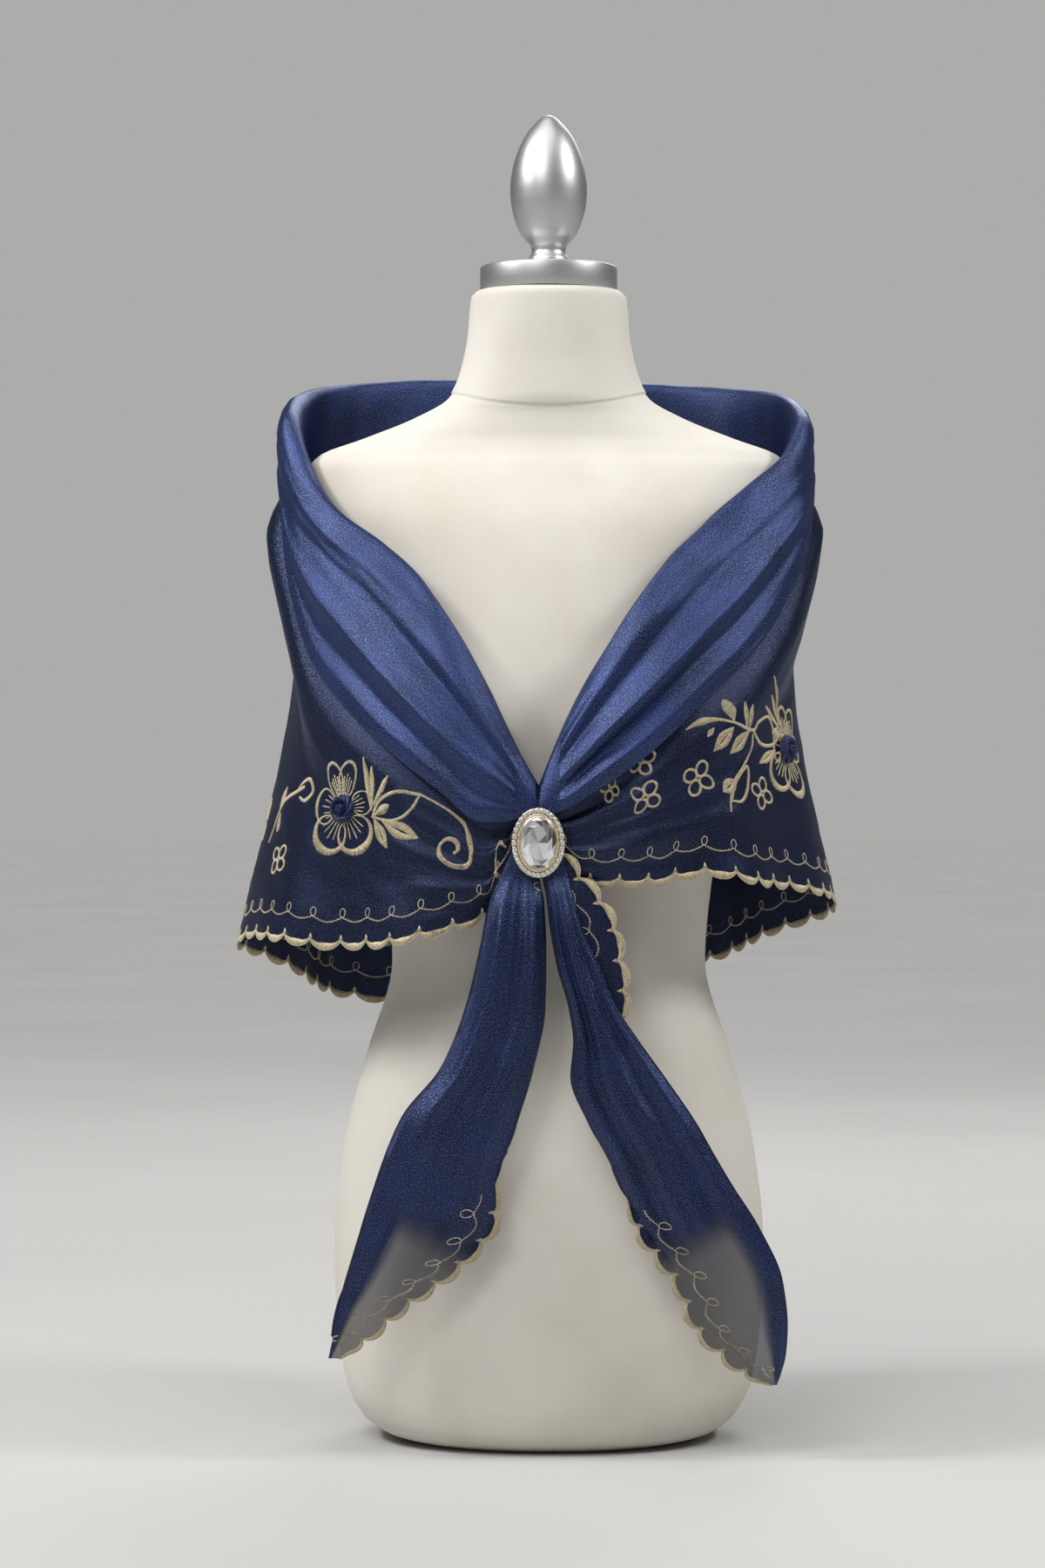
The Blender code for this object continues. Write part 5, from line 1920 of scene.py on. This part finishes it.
class Embroidery:
    """Sews motifs on the shoulders' cloth, placed round a rosette in flat millimetres."""

    def __init__(
        self, shoulders: Shoulders, stitches: Stitches, turn: float, above: float, mirror: bool = False
    ) -> None:
        """Measure the level line through the spray's centre, so that flat widths stay true.

        Args:
            shoulders: The cloth.
            stitches: Where the stitches are gathered.
            turn: The centre's angle from the front.
            above: Its distance from the hem, in mm.
            mirror: Whether the spray grows the other way.
        """
        self.surface = shoulders.surface
        self.stitches = stitches
        self.above = above
        self.way = -1.0 if mirror else 1.0
        count = len(self.surface.lines)
        self.arc = lengths_along([self.surface.on_line(k, above * MM) for k in range(count)], MM)
        centre = bisect_right(shoulders.turns, turn) - 1
        share = (turn - shoulders.turns[centre]) / (shoulders.turns[centre + 1] - shoulders.turns[centre])
        self.zero = self.arc[centre] + share * (self.arc[centre + 1] - self.arc[centre])

    def place(self, x: float, y: float) -> Flat:
        """Turn a flat point into a place on the cloth.

        Args:
            x: How far right of the spray's centre it lies, in mm.
            y: How far above.

        Returns:
            The place, as scallop and inset in mm.
        """
        goal = min(max(self.zero - self.way * x, self.arc[0]), self.arc[-1] - 1e-6)
        k = min(bisect_right(self.arc, goal) - 1, len(self.arc) - 2)
        share = (goal - self.arc[k]) / (self.arc[k + 1] - self.arc[k])
        return (k + share) / SCALLOP.steps, self.above + y

    def lay(self, a: Vector, b: Vector) -> None:
        """Lay one stitch between two flat points.

        Args:
            a: Where it starts.
            b: Where it ends.
        """
        first, second = self.place(*a), self.place(*b)
        middle = ((first[0] + second[0]) / 2, (first[1] + second[1]) / 2)
        self.stitches.lay(self.surface.at(*first), self.surface.at(*second), self.surface.facing(*middle))

    def band(
        self, path: Sequence[Vector], widths: Sequence[float], pitch: float = 0.95, slant: float = 0.0
    ) -> None:
        """Lay satin stitch across a path.

        Args:
            path: Flat points close together.
            widths: The band's width, read evenly along the path.
            pitch: How far the stitches lie apart.
            slant: How far each leans along the path, as a share of its width.
        """
        spans = [(b - a).length for a, b in zip(path, path[1:])]
        total, done, left = sum(spans), 0.0, 0.0
        for a, b, span in zip(path, path[1:], spans):
            if span < 1e-6:
                continue
            way = (b - a) / span
            side = beside(way)
            while left < span:
                at = (done + left) / total * (len(widths) - 1)
                k = min(int(at), len(widths) - 2)
                width = widths[k] + (widths[k + 1] - widths[k]) * (at - k)
                here = a + way * left
                across = (side + way * slant) * width / 2
                self.lay(here - across, here + across)
                left += pitch
            left -= span
            done += span

    def blade(self, base: Vector, tip: Vector, width: float) -> None:
        """Sew a slim filled blade, widest near its tip."""
        path = [base.lerp(tip, k / 20) for k in range(21)]
        self.band(path, [1.2, width * 0.7, width, width * 0.9, 0.8], slant=0.35)

    def leaf(self, base: Vector, tip: Vector, width: float) -> None:
        """Sew a leaf as two bowed halves with a gap down its middle.

        Args:
            base: Its foot.
            tip: Its tip.
            width: Its breadth.
        """
        side = beside((tip - base).normalized())
        for half in (-1, 1):
            middle = base.lerp(tip, 0.52) + side * half * width * 0.27
            path = along_curve([base, middle, tip], 10)
            self.band(path, [0.8, width * 0.34, width * 0.46, width * 0.34, 0.8], slant=0.3 * half)

    def drop(self, base: Vector, tip: Vector, width: float) -> None:
        """Sew a filled drop, round at its far end."""
        path = [base.lerp(tip, k / 16) for k in range(17)]
        self.band(path, [0.9, width * 0.4, width * 0.75, width, width * 0.96, width * 0.66, 0.8], slant=0.1)

    def ring(
        self, centre: Vector, way: Vector, length: float, breadth: float, satin: Sequence[float]
    ) -> None:
        """Sew the outline of an oval.

        Args:
            centre: The oval's middle.
            way: The way that it is long.
            length: Its length.
            breadth: Its breadth.
            satin: The outline's width, read round it from the near end.
        """
        side = beside(way)
        round_it = circle(28)
        path = [centre - way * c * length / 2 + side * s * breadth / 2 for c, s in [*round_it, round_it[0]]]
        self.band(path, satin)

    def blossom(self, centre: Vector, size: float, satin: float, lean: float) -> None:
        """Sew a small flower of four open petals.

        Args:
            centre: Its middle.
            size: Its breadth.
            satin: The width of the petals' outlines.
            lean: How far it is turned, in degrees.
        """
        for k in range(4):
            way = heading(lean + 45 + 90 * k)
            self.ring(centre + way * size * 0.27, way, size * 0.42, size * 0.34, [satin, satin, satin])

    def flower(self, petals: Sequence[Petal], heart: float = 8.5) -> None:
        """Sew the large open flower: satin outlines, and fine lines from its heart.

        Args:
            petals: Its petals.
            heart: How far from the centre they start.
        """
        for petal in petals:
            way = heading(petal.lean)
            side = beside(way)
            length = petal.reach - heart
            self.ring(
                way * (heart + length / 2), way, length, petal.breadth,
                [1.0, 1.2, petal.satin * 0.55, petal.satin, petal.satin * 0.55, 1.2, 1.0],
            )
            for k in (-2, -1, 0, 1, 2):
                fan = (way + side * 0.19 * k * petal.breadth / length).normalized()
                reach = heart + length * (0.66 - 0.07 * abs(k))
                points = [fan * (heart + 1 + (reach - heart - 1) * n / 5) for n in range(6)]
                for a, b in zip(points, points[1:]):
                    self.lay(a, b)

    def spray(self, spray: Spray) -> None:
        """Sew a whole spray.

        Args:
            spray: The spray.
        """
        self.flower(spray.petals)
        for sprig in spray.sprigs:
            base = Vector((sprig.x, sprig.y))
            tip = base + heading(sprig.lean) * sprig.length
            if sprig.motif is Motif.BLOSSOM:
                self.blossom(base, sprig.length, sprig.width, sprig.lean)
            elif sprig.motif is Motif.BLADE:
                self.blade(base, tip, sprig.width)
            elif sprig.motif is Motif.LEAF:
                self.leaf(base, tip, sprig.width)
            else:
                self.drop(base, tip, sprig.width)
        for stem in spray.stems:
            self.band(along_curve(stem.points), stem.widths)


class RosettePlace(NamedTuple):
    """Where a rosette sits, and which spray grows round it."""

    node: str
    turn: float
    above: float
    spray: Spray
    mirror: bool


ROSETTES = [
    RosettePlace("rosette_left_front", 56.4, 99, LEFT_SPRAY, False),
    RosettePlace("rosette_left_back", 112.0, 99, HIDDEN_SPRAY, True),
    RosettePlace("rosette_back", 171.0, 99, HIDDEN_SPRAY, True),
    RosettePlace("rosette_right_back", 230.0, 99, HIDDEN_SPRAY, True),
    RosettePlace("rosette_right_front", 288.2, 103, RIGHT_SPRAY, False),
]


@dataclass
class Rosette:
    """A gathered ribbon rose: a puffed outer ring of folds round a tight, swirled heart."""

    radius: float = 11.4
    height: float = 8.8
    folds: int = 9
    sides: int = 90
    rows: int = 30
    swirl: float = 1.5
    pinch: float = 0.16
    puff: float = 0.72
    puff_speed: float = 1.55
    puff_power: float = 0.6
    puff_until: float = 0.64
    behind_puff: float = 0.25
    heart_rises: tuple[float, float] = (0.5, 0.82)
    groove: float = 2.2
    moat: float = 1.5
    moat_at: float = 0.52
    moat_width: float = 0.05
    margin: float = 0.12
    lift: float = 0.2

    def surface(self, share: float, angle: float) -> tuple[float, float]:
        """Find the ribbon's surface.

        Args:
            share: The share of the way from the rim to the heart.
            angle: The angle round the heart.

        Returns:
            The reach from the middle and the rise above the cloth, in mm.
        """
        turned = angle + self.swirl * share * 2
        fold = abs(math.sin(self.folds * turned / 2))
        petal = abs(math.sin(1.5 * (angle + 4.2 * share)))
        reach = self.radius * (1 - share) * (1 - self.pinch * (1 - fold) * (1 - share))
        puff = self.behind_puff
        if share < self.puff_until:
            puff = math.sin(math.pi * min(1.0, share * self.puff_speed)) ** self.puff_power
        heart = 0.9 * smooth(*self.heart_rises, share) + 0.1
        rise = self.height * max(self.puff * puff, heart * (0.8 + 0.2 * petal))
        rise -= self.groove * (1 - fold) ** 2 * math.sin(math.pi * share)
        rise -= self.moat * bell(share - self.moat_at, self.moat_width)
        return reach + self.margin, max(rise, self.lift)

    def build(self, place: RosettePlace, sewing: Embroidery) -> bpy.types.Object:
        """Make the rosette on the cloth.

        Args:
            place: Where it sits.
            sewing: The spray round it, which knows the cloth there.

        Returns:
            The piece.
        """
        at = sewing.place(0.0, 0.0)
        centre = sewing.surface.at(*at)
        out = sewing.surface.facing(*at)
        if out.x * centre.x + out.y * centre.y < 0:
            out = -out
        right = out.cross(Vector((0, 0, -1))).normalized()
        up = out.cross(right).normalized()
        rings = []
        for n in range(self.rows):
            ring = []
            for i in range(self.sides):
                angle = 2 * math.pi * i / self.sides
                reach, rise = self.surface(n / (self.rows - 1), angle)
                flat = right * math.cos(angle) + up * math.sin(angle)
                ring.append(centre + flat * reach * MM + out * (rise + self.lift) * MM)
            rings.append(ring)
        piece = lofted(place.node + "_ribbon", rings, NAVY_RIBBON.material(), 70)
        face_outwards(piece.data)
        return dress(piece, "satin_ribbon", place.node)


class RingPiece(NamedTuple):
    """Equal small shapes set in a ring round the brooch, each turned from a profile."""

    name: str
    profile: list[Flat]
    sides: int
    long: float
    inset: float
    out: float
    count: int
    turned: float
    breadth: float
    height: float
    tilt: float
    finish: Finish


ROPE = [(0.05, -0.5), (0.4, -0.35), (0.5, 0.0), (0.4, 0.35), (0.05, 0.5)]
CUP = [(0.44, -0.5), (0.52, -0.2), (0.52, 0.45), (0.46, 0.5), (0.40, 0.3)]
SMALL_STONE = [(0.30, -0.6), (0.44, 0.0), (0.44, 0.10), (0.26, 0.42), (0.25, 0.43)]
PRONG = [(0.05, -0.5), (0.42, -0.3), (0.5, 0.0), (0.42, 0.3), (0.05, 0.5)]
RING_PIECES = [
    RingPiece("brooch_rope", ROPE, 8, 0.55, 4.8, 3.6, 76, 0.0, 1.9, 1.4, 38, GOLD_PLATE),
    RingPiece("brooch_cups", CUP, 12, 1.0, 1.9, 2.5, 32, 0.0, 4.0, 2.0, 0, GOLD_PLATE),
    RingPiece("brooch_ring_stones", SMALL_STONE, 8, 1.0, 1.9, 2.9, 32, 0.0, 4.0, 2.6, 0, CUT_CRYSTAL),
    RingPiece("brooch_prongs", PRONG, 8, 1.0, 0.6, 2.9, 32, 0.25, 1.5, 1.5, 0, GOLD_PLATE),
]
# Each row is the distance in from the brooch's edge and out from its back.
PLATE_PROFILE = [
    (0.9, 0.0), (0.2, 0.4), (0.0, 1.0), (0.1, 1.6), (0.6, 1.9), (3.6, 1.9), (4.1, 2.6),
    (4.7, 3.0), (5.3, 3.2), (5.7, 4.2), (6.3, 4.6), (6.9, 4.2), (7.1, 3.0), (7.3, 1.6),
]
# Each row is a ring of the large stone: further in, out, and the share of a side it is turned.
STONE_RINGS = [(0.4, 1.9, 0.0), (0.0, 4.2, 0.0), (2.6, 6.2, 0.5), (6.4, 7.7, 0.0)]


@dataclass
class Brooch:
    """An oval brooch: a ring of small stones round a large one in a roped rim."""

    centre: tuple[float, float, float] = (-8.7, -145.8, 463.3)
    half_width: float = 19.7
    half_height: float = 25.9
    plate_sides: int = 96
    stone_inset: float = 6.3
    stone_sides: int = 12
    stone_top: float = 8.5
    # How deep the painted facet reflections go on the large stone and on the ring's stones.
    large_reflection_depth: float = 1.0
    ring_reflection_depth: float = 0.35

    def facing_front(self, across: float, up: float, out: float) -> Vector:
        """Find the point so far across, up and out from the middle of the brooch's back."""
        x, y, z = self.centre
        return Vector((x + across, y - out, z + up)) * MM

    def oval(self, inset: float, out: float, sides: int, turned: float = 0.0) -> list[Vector]:
        """Draw a ring parallel to the brooch's edge.

        Args:
            inset: The distance in from the edge.
            out: The distance from the back.
            sides: The number of points.
            turned: The share of a side by which the points are turned.

        Returns:
            The points.
        """
        wide, high = self.half_width - inset, self.half_height - inset
        return [self.facing_front(wide * c, high * s, out) for c, s in circle(sides, turned)]

    def plate(self) -> bpy.types.Object:
        """Make the cast plate with its raised wall round the large stone."""
        rings = [self.oval(inset, out, self.plate_sides) for inset, out in PLATE_PROFILE]
        return lofted("brooch_plate", rings, GOLD_PLATE.material(), 40)

    def ring_piece(self, ring: RingPiece) -> bpy.types.Object:
        """Set a small turned shape at each point of a ring, by Geometry Nodes.

        Args:
            ring: The shape, and where it sits.

        Returns:
            The piece.
        """
        cut = ring.finish is CUT_CRYSTAL
        turnings = [
            [Vector((ring.long * r * c, r * s, h)) for c, s in circle(ring.sides)] for r, h in ring.profile
        ]
        shape = lofted(ring.name + "_shape", turnings, ring.finish.material(), 60)
        if cut:
            shape.data.shade_flat()
        points = self.oval(ring.inset, ring.out, ring.count, ring.turned)
        lies = []
        for i, before in enumerate([points[-1], *points[:-1]]):
            along = (points[(i + 1) % len(points)] - before).normalized()
            lies += list(Matrix.Rotation(math.radians(ring.tilt), 3, "Y") @ along)
        places = bpy.data.meshes.new(ring.name + "_points")
        places.from_pydata(points, [], [])
        places.attributes.new("lie", "FLOAT_VECTOR", "POINT").data.foreach_set("vector", lies)
        made = PointTree(ring.name, {"Breadth": ring.breadth, "Height": ring.height})
        part = add_node(made.tree, "GeometryNodeObjectInfo", {"Object": shape})
        scale = (made.given["Breadth"], made.given["Breadth"], made.given["Height"])
        axes = ((0.0, -1.0, 0.0), made.attribute("lie"))
        piece = made.build(places, ring.finish, part.outputs["Geometry"], axes, scale)
        bpy.data.objects.remove(shape)
        if cut:
            Crystal.paint_facet_reflections(piece.data, self.ring_reflection_depth)
        return piece

    def large_stone(self) -> bpy.types.Object:
        """Cut the large oval stone: a girdle, two rows of kite facets and a small table.

        Returns:
            The piece.
        """
        sides = self.stone_sides
        made = bmesh.new()
        rows = [
            [made.verts.new(p) for p in self.oval(self.stone_inset + further, out, sides, turned)]
            for further, out, turned in STONE_RINGS
        ]
        for low, high in zip(rows, rows[1:]):
            for i in range(sides):
                k = (i + 1) % sides
                if low is rows[0]:
                    made.faces.new((low[i], low[k], high[k], high[i]))
                else:
                    made.faces.new((low[i], low[k], high[i]))
                    made.faces.new((low[k], high[k], high[i]))
        made.faces.new(rows[0][::-1])
        top = made.verts.new(self.facing_front(0, 0, self.stone_top))
        for i in range(sides):
            made.faces.new((rows[-1][i], rows[-1][(i + 1) % sides], top))
        bmesh.ops.recalc_face_normals(made, faces=made.faces[:])
        mesh = bpy.data.meshes.new("brooch_crystal")
        made.to_mesh(mesh)
        made.free()
        Crystal.paint_facet_reflections(mesh, self.large_reflection_depth)
        return new_object("brooch_crystal", mesh, CUT_CRYSTAL.material())

    def build(self) -> None:
        """Make the brooch's pieces and dress them."""
        dress(self.plate(), "gold_plate", "brooch_setting")
        dress(self.large_stone(), "crystal", "brooch_stone")
        for ring in RING_PIECES:
            dress(self.ring_piece(ring), "crystal" if ring.finish is CUT_CRYSTAL else "gold_plate")


class FormLevel(NamedTuple):
    """One level of the form, in mm. A square of 2 makes an ellipse."""

    height: float
    half_width: float
    front: float
    back: float
    square: float


class TurnedLevel(NamedTuple):
    """One level of a turned piece, in mm."""

    height: float
    radius: float


FORM_LEVELS = [
    FormLevel(0, 108, 84, 88, 2.2), FormLevel(5, 127, 97, 101, 2.2), FormLevel(17, 144, 108, 113, 2.2),
    FormLevel(40, 157, 114, 121, 2.2), FormLevel(90, 165, 119, 126, 2.2), FormLevel(155, 167, 119, 126, 2.2),
    FormLevel(225, 160, 115, 115, 2.2), FormLevel(300, 141, 104, 95, 2.15), FormLevel(370, 122, 94, 85, 2.1),
    FormLevel(430, 127, 94, 89, 2.15), FormLevel(485, 139, 98, 97, 2.2), FormLevel(530, 148, 101, 104, 2.25),
    FormLevel(575, 154, 102, 109, 2.3), FormLevel(620, 157, 99, 112, 2.3), FormLevel(670, 164, 91, 112, 2.3),
    FormLevel(710, 178, 81, 106, 2.3), FormLevel(738, 185.5, 69, 95, 2.2), FormLevel(753, 187, 61, 86, 2.1),
    FormLevel(763, 179, 55, 78, 2.0), FormLevel(776, 145, 51, 69, 2.0), FormLevel(792, 105, 50.5, 62, 2.0),
    FormLevel(808, 78, 53, 57, 2.0), FormLevel(828, 68.5, 53, 54, 2.0), FormLevel(855, 63.5, 54, 53, 2.0),
    FormLevel(886, 60.5, 55, 53, 2.0), FormLevel(890.5, 56.5, 52, 50.5, 2.0),
]
CAP_LEVELS = [
    TurnedLevel(890.8, 52.3), TurnedLevel(891.0, 53.2), TurnedLevel(891.6, 53.5), TurnedLevel(908.6, 53.5),
    TurnedLevel(909.5, 53.2), TurnedLevel(910, 52.4), TurnedLevel(910, 40), TurnedLevel(910, 17),
]
FINIAL_LEVELS = [
    TurnedLevel(910.3, 15.4), TurnedLevel(910.6, 16), TurnedLevel(914, 16.1), TurnedLevel(917, 15.5),
    TurnedLevel(920, 13.9), TurnedLevel(923, 13.2), TurnedLevel(927, 14.2), TurnedLevel(934, 20.5),
    TurnedLevel(946, 26), TurnedLevel(959, 29.2), TurnedLevel(973, 30), TurnedLevel(988, 28),
    TurnedLevel(1002, 23.6), TurnedLevel(1014, 17.4), TurnedLevel(1023, 10), TurnedLevel(1027.3, 5),
    TurnedLevel(1029, 0.6),
]


@dataclass
class DressForm:
    """A limbless display form covered in jersey, with a turned cap and finial on its neck."""

    sides: int = 128
    turned_sides: int = 96
    bust_side: float = 78.0
    bust_height: float = 552.0
    bust_reach: float = 21.0
    bust_spread: float = 46.0
    bust_full_at: float = 80.0
    seam_height: float = 812.0
    seam_dip: float = 13.0
    seam_step: float = 0.9
    lap_grows: tuple[float, float] = (-0.8, 0.4)
    lap_fades: tuple[float, float] = (10, 45)
    groove: float = 0.5
    groove_drop: float = 1.4
    groove_width: float = 1.0

    def with_bust(self, point: Vector) -> Vector:
        """Move a point to the front where the bust stands out.

        Args:
            point: A point of the plain form.

        Returns:
            The moved point.
        """
        if point.y >= 0:
            return point
        x, z = point.x / MM, point.z / MM
        above = (z - self.bust_height) / self.bust_spread
        sides = [(x - side) / self.bust_spread for side in (-self.bust_side, self.bust_side)]
        rise = sum(math.exp(-(side**2) - above**2) for side in sides)
        share = min(1.0, -point.y / (self.bust_full_at * MM))
        return point + Vector((0, -self.bust_reach * MM * rise * share, 0))

    def ring(self, level: FormLevel) -> list[Vector]:
        """Draw the form's outline at a level, with the lap of the neck's own cover.

        Args:
            level: The level.

        Returns:
            The points.
        """
        found = []
        for c, s in circle(self.sides):
            x = math.copysign(abs(c) ** (2 / level.square), c) * level.half_width
            y = math.copysign(abs(s) ** (2 / level.square), s) * (level.back if s > 0 else level.front)
            seam = self.seam_height - self.seam_dip * max(0.0, -s) ** 2
            lap = self.seam_step * smooth(*(seam + off for off in self.lap_grows), level.height)
            lap *= 1 - smooth(*(seam + off for off in self.lap_fades), level.height)
            lap -= self.groove * bell(level.height - seam + self.groove_drop, self.groove_width)
            out = 1 + lap / math.hypot(x, y)
            found.append(self.with_bust(Vector((x * out, y * out, level.height)) * MM))
        return found

    def heights(self) -> list[float]:
        """List the levels to draw, close together where the neck's seam runs.

        Returns:
            The levels' heights, in mm.
        """
        found = [0.0, 1.0, 2.5]
        while found[-1] < 888:
            at = found[-1]
            if at < 20:
                step = 2.5
            elif 792 <= at < 820:
                step = 0.7
            elif at > 740:
                step = 3.0
            else:
                step = 9.0
            found.append(min(at + step, 888.0))
        return [*found, 889.3, 890.1, 890.5]

    def body(self) -> bpy.types.Object:
        """Make the covered body.

        Returns:
            The piece.
        """
        table = Table(FORM_LEVELS)
        rings = [self.ring(table.read(height)) for height in self.heights()]
        return lofted("form_jersey", rings, CREAM_JERSEY.material(), 60)

    def turned(self, name: str, levels: Sequence[TurnedLevel], finer: int) -> bpy.types.Object:
        """Make a turned piece from its levels, with a smooth profile.

        Args:
            name: The piece's name.
            levels: Its levels, lowest first.
            finer: How many spans each stretch between two levels gets.

        Returns:
            The piece.
        """
        profile = curve_through([Vector((r, z)) * MM for z, r in levels], [finer] * (len(levels) - 1))
        rings = [[Vector((p.x * c, p.x * s, p.y)) for c, s in circle(self.turned_sides)] for p in profile]
        return lofted(name, rings, BRUSHED_ALUMINIUM.material(), 40)

    def build(self) -> None:
        """Make the form's three pieces and dress them."""
        dress(self.body(), "form_cloth", "form_body")
        dress(self.turned("neck_cap_turned", CAP_LEVELS, 1), "aluminium", "neck_cap")
        dress(self.turned("finial_turned", FINIAL_LEVELS, 4), "aluminium", "finial")


class Lamp(NamedTuple):
    """A soft box: where it stands, its size in metres and its power in watts."""

    name: str
    place: tuple[float, float, float]
    size: float
    power: float


LAMPS = [
    Lamp("key", (-0.9, -2.0, 2.3), 0.9, 17.0),
    Lamp("left_strip", (-1.7, -0.6, 2.1), 0.5, 30.0),
    Lamp("right_strip", (1.7, -0.6, 2.1), 0.5, 24.0),
    Lamp("back", (0.5, 2.2, 2.3), 1.4, 24.0),
]


@dataclass
class Studio:
    """The plain floor, the soft light and the camera at the photograph's angle."""

    camera_at: tuple[float, float, float] = (-0.0204, -3.0, 0.507)
    millimetres_per_pixel: float = 0.68
    image_height: int = 1800
    sensor: float = 36.0
    aim: tuple[float, float, float] = (0.0, 0.0, 0.58)
    surround: str = "ececeb"
    surround_strength: float = 0.13
    seen_strength: float = 0.49
    sky_power: float = 1.4
    sky_angle: float = 60.0
    sky_from: tuple[float, float, float] = (-0.2, -0.3, 1.0)
    floor_radius: float = 30.0
    floor_sides: int = 64
    floor_gap: float = 0.0004

    def build(self) -> None:
        """Make the floor, the light and the camera."""
        scene = bpy.context.scene
        data = bpy.data.cameras.new("camera")
        data.sensor_width = self.sensor
        data.lens = self.sensor * -self.camera_at[1] / (self.millimetres_per_pixel * MM * self.image_height)
        camera = bpy.data.objects.new("camera", data)
        camera.location = self.camera_at
        camera.rotation_euler = (math.pi / 2, 0, 0)
        scene.collection.objects.link(camera)
        scene.camera = camera
        for lamp in LAMPS:
            light = bpy.data.lights.new(lamp.name, "AREA")
            light.energy, light.size = lamp.power, lamp.size
            self.hang(light, Vector(lamp.place), Vector(self.aim) - Vector(lamp.place))
        sky = bpy.data.lights.new("sky", "SUN")
        sky.energy, sky.angle = self.sky_power, math.radians(self.sky_angle)
        self.hang(sky, Vector(), -Vector(self.sky_from))
        scene.world = bpy.data.worlds.new("surround")
        scene.world.use_nodes = True
        tree = scene.world.node_tree
        background = tree.nodes["Background"]
        background.inputs["Color"].default_value = linear(self.surround)
        rays = add_node(tree, "ShaderNodeLightPath")
        strength = add_node(
            tree, "ShaderNodeMapRange",
            {
                "Value": rays.outputs["Is Camera Ray"],
                "To Min": self.surround_strength, "To Max": self.seen_strength,
            },
        )
        tree.links.new(strength.outputs[0], background.inputs["Strength"])
        scene.view_settings.view_transform = "Standard"
        self.floor()

    def hang(self, light: bpy.types.Light, at: Vector, way: Vector) -> None:
        """Hang a light.

        Args:
            light: The light.
            at: Where it hangs.
            way: The way that it shines.
        """
        stand = bpy.data.objects.new(light.name, light)
        stand.location = at
        stand.rotation_euler = way.to_track_quat("-Z", "Y").to_euler()
        bpy.context.scene.collection.objects.link(stand)

    def floor(self) -> None:
        """Lay the floor, which the form stands on."""
        depth = Vector((0, 0, -self.floor_gap))
        rim = [Vector((c, s, 0)) * self.floor_radius + depth for c, s in circle(self.floor_sides)]
        mesh = bpy.data.meshes.new("studio_floor")
        mesh.from_pydata(rim, [], [tuple(range(self.floor_sides))])
        new_object("studio_floor", mesh, STUDIO_PAPER.material())


def main() -> None:
    """Build every piece in order."""
    logging.basicConfig(level=logging.INFO, format="%(name)s: %(message)s")
    Studio().build()
    DressForm().build()
    shoulders = Shoulders()
    cape = shoulders.build()
    tails = [
        Tail("shawl_tail_left", "tail_left", LEFT_LEVELS, LEFT_RIDGES, (0.16, 0.42), 0.046),
        Tail("shawl_tail_right", "tail_right", RIGHT_LEVELS, RIGHT_RIDGES, (0.16, 0.43), 0.037),
    ]
    cloths = [tail.build() for tail in tails]
    Brooch().build()

    edge, line = Stitches(width_mm=1.05, height_mm=1.3), Stitches(width_mm=0.85, height_mm=0.95)
    surfaces = [(shoulders.surface, 1.0)] + [(hem, TAIL_LOOPS) for tail in tails for hem in tail.edges]
    for surface, scale in surfaces:
        surface.sew_edge(edge)
        surface.sew_zigzag(line, surface.loop_path(0.3, surface.scallops - 0.3, scale))
    satin = dress(edge.build("satin_edge", CHAMPAGNE_THREAD), "embroidery_thread")
    loops = dress(line.build("loop_line", CHAMPAGNE_THREAD), "embroidery_thread")
    for place in ROSETTES:
        stitches = Stitches(width_mm=1.1, height_mm=1.5)
        sewing = Embroidery(shoulders, stitches, place.turn, place.above, place.mirror)
        sewing.spray(place.spray)
        name = place.node.replace("rosette", "spray")
        dress(stitches.build(name, CHAMPAGNE_THREAD), "embroidery_thread")
        Rosette().build(place, sewing)


if __name__ == "__main__":
    main()
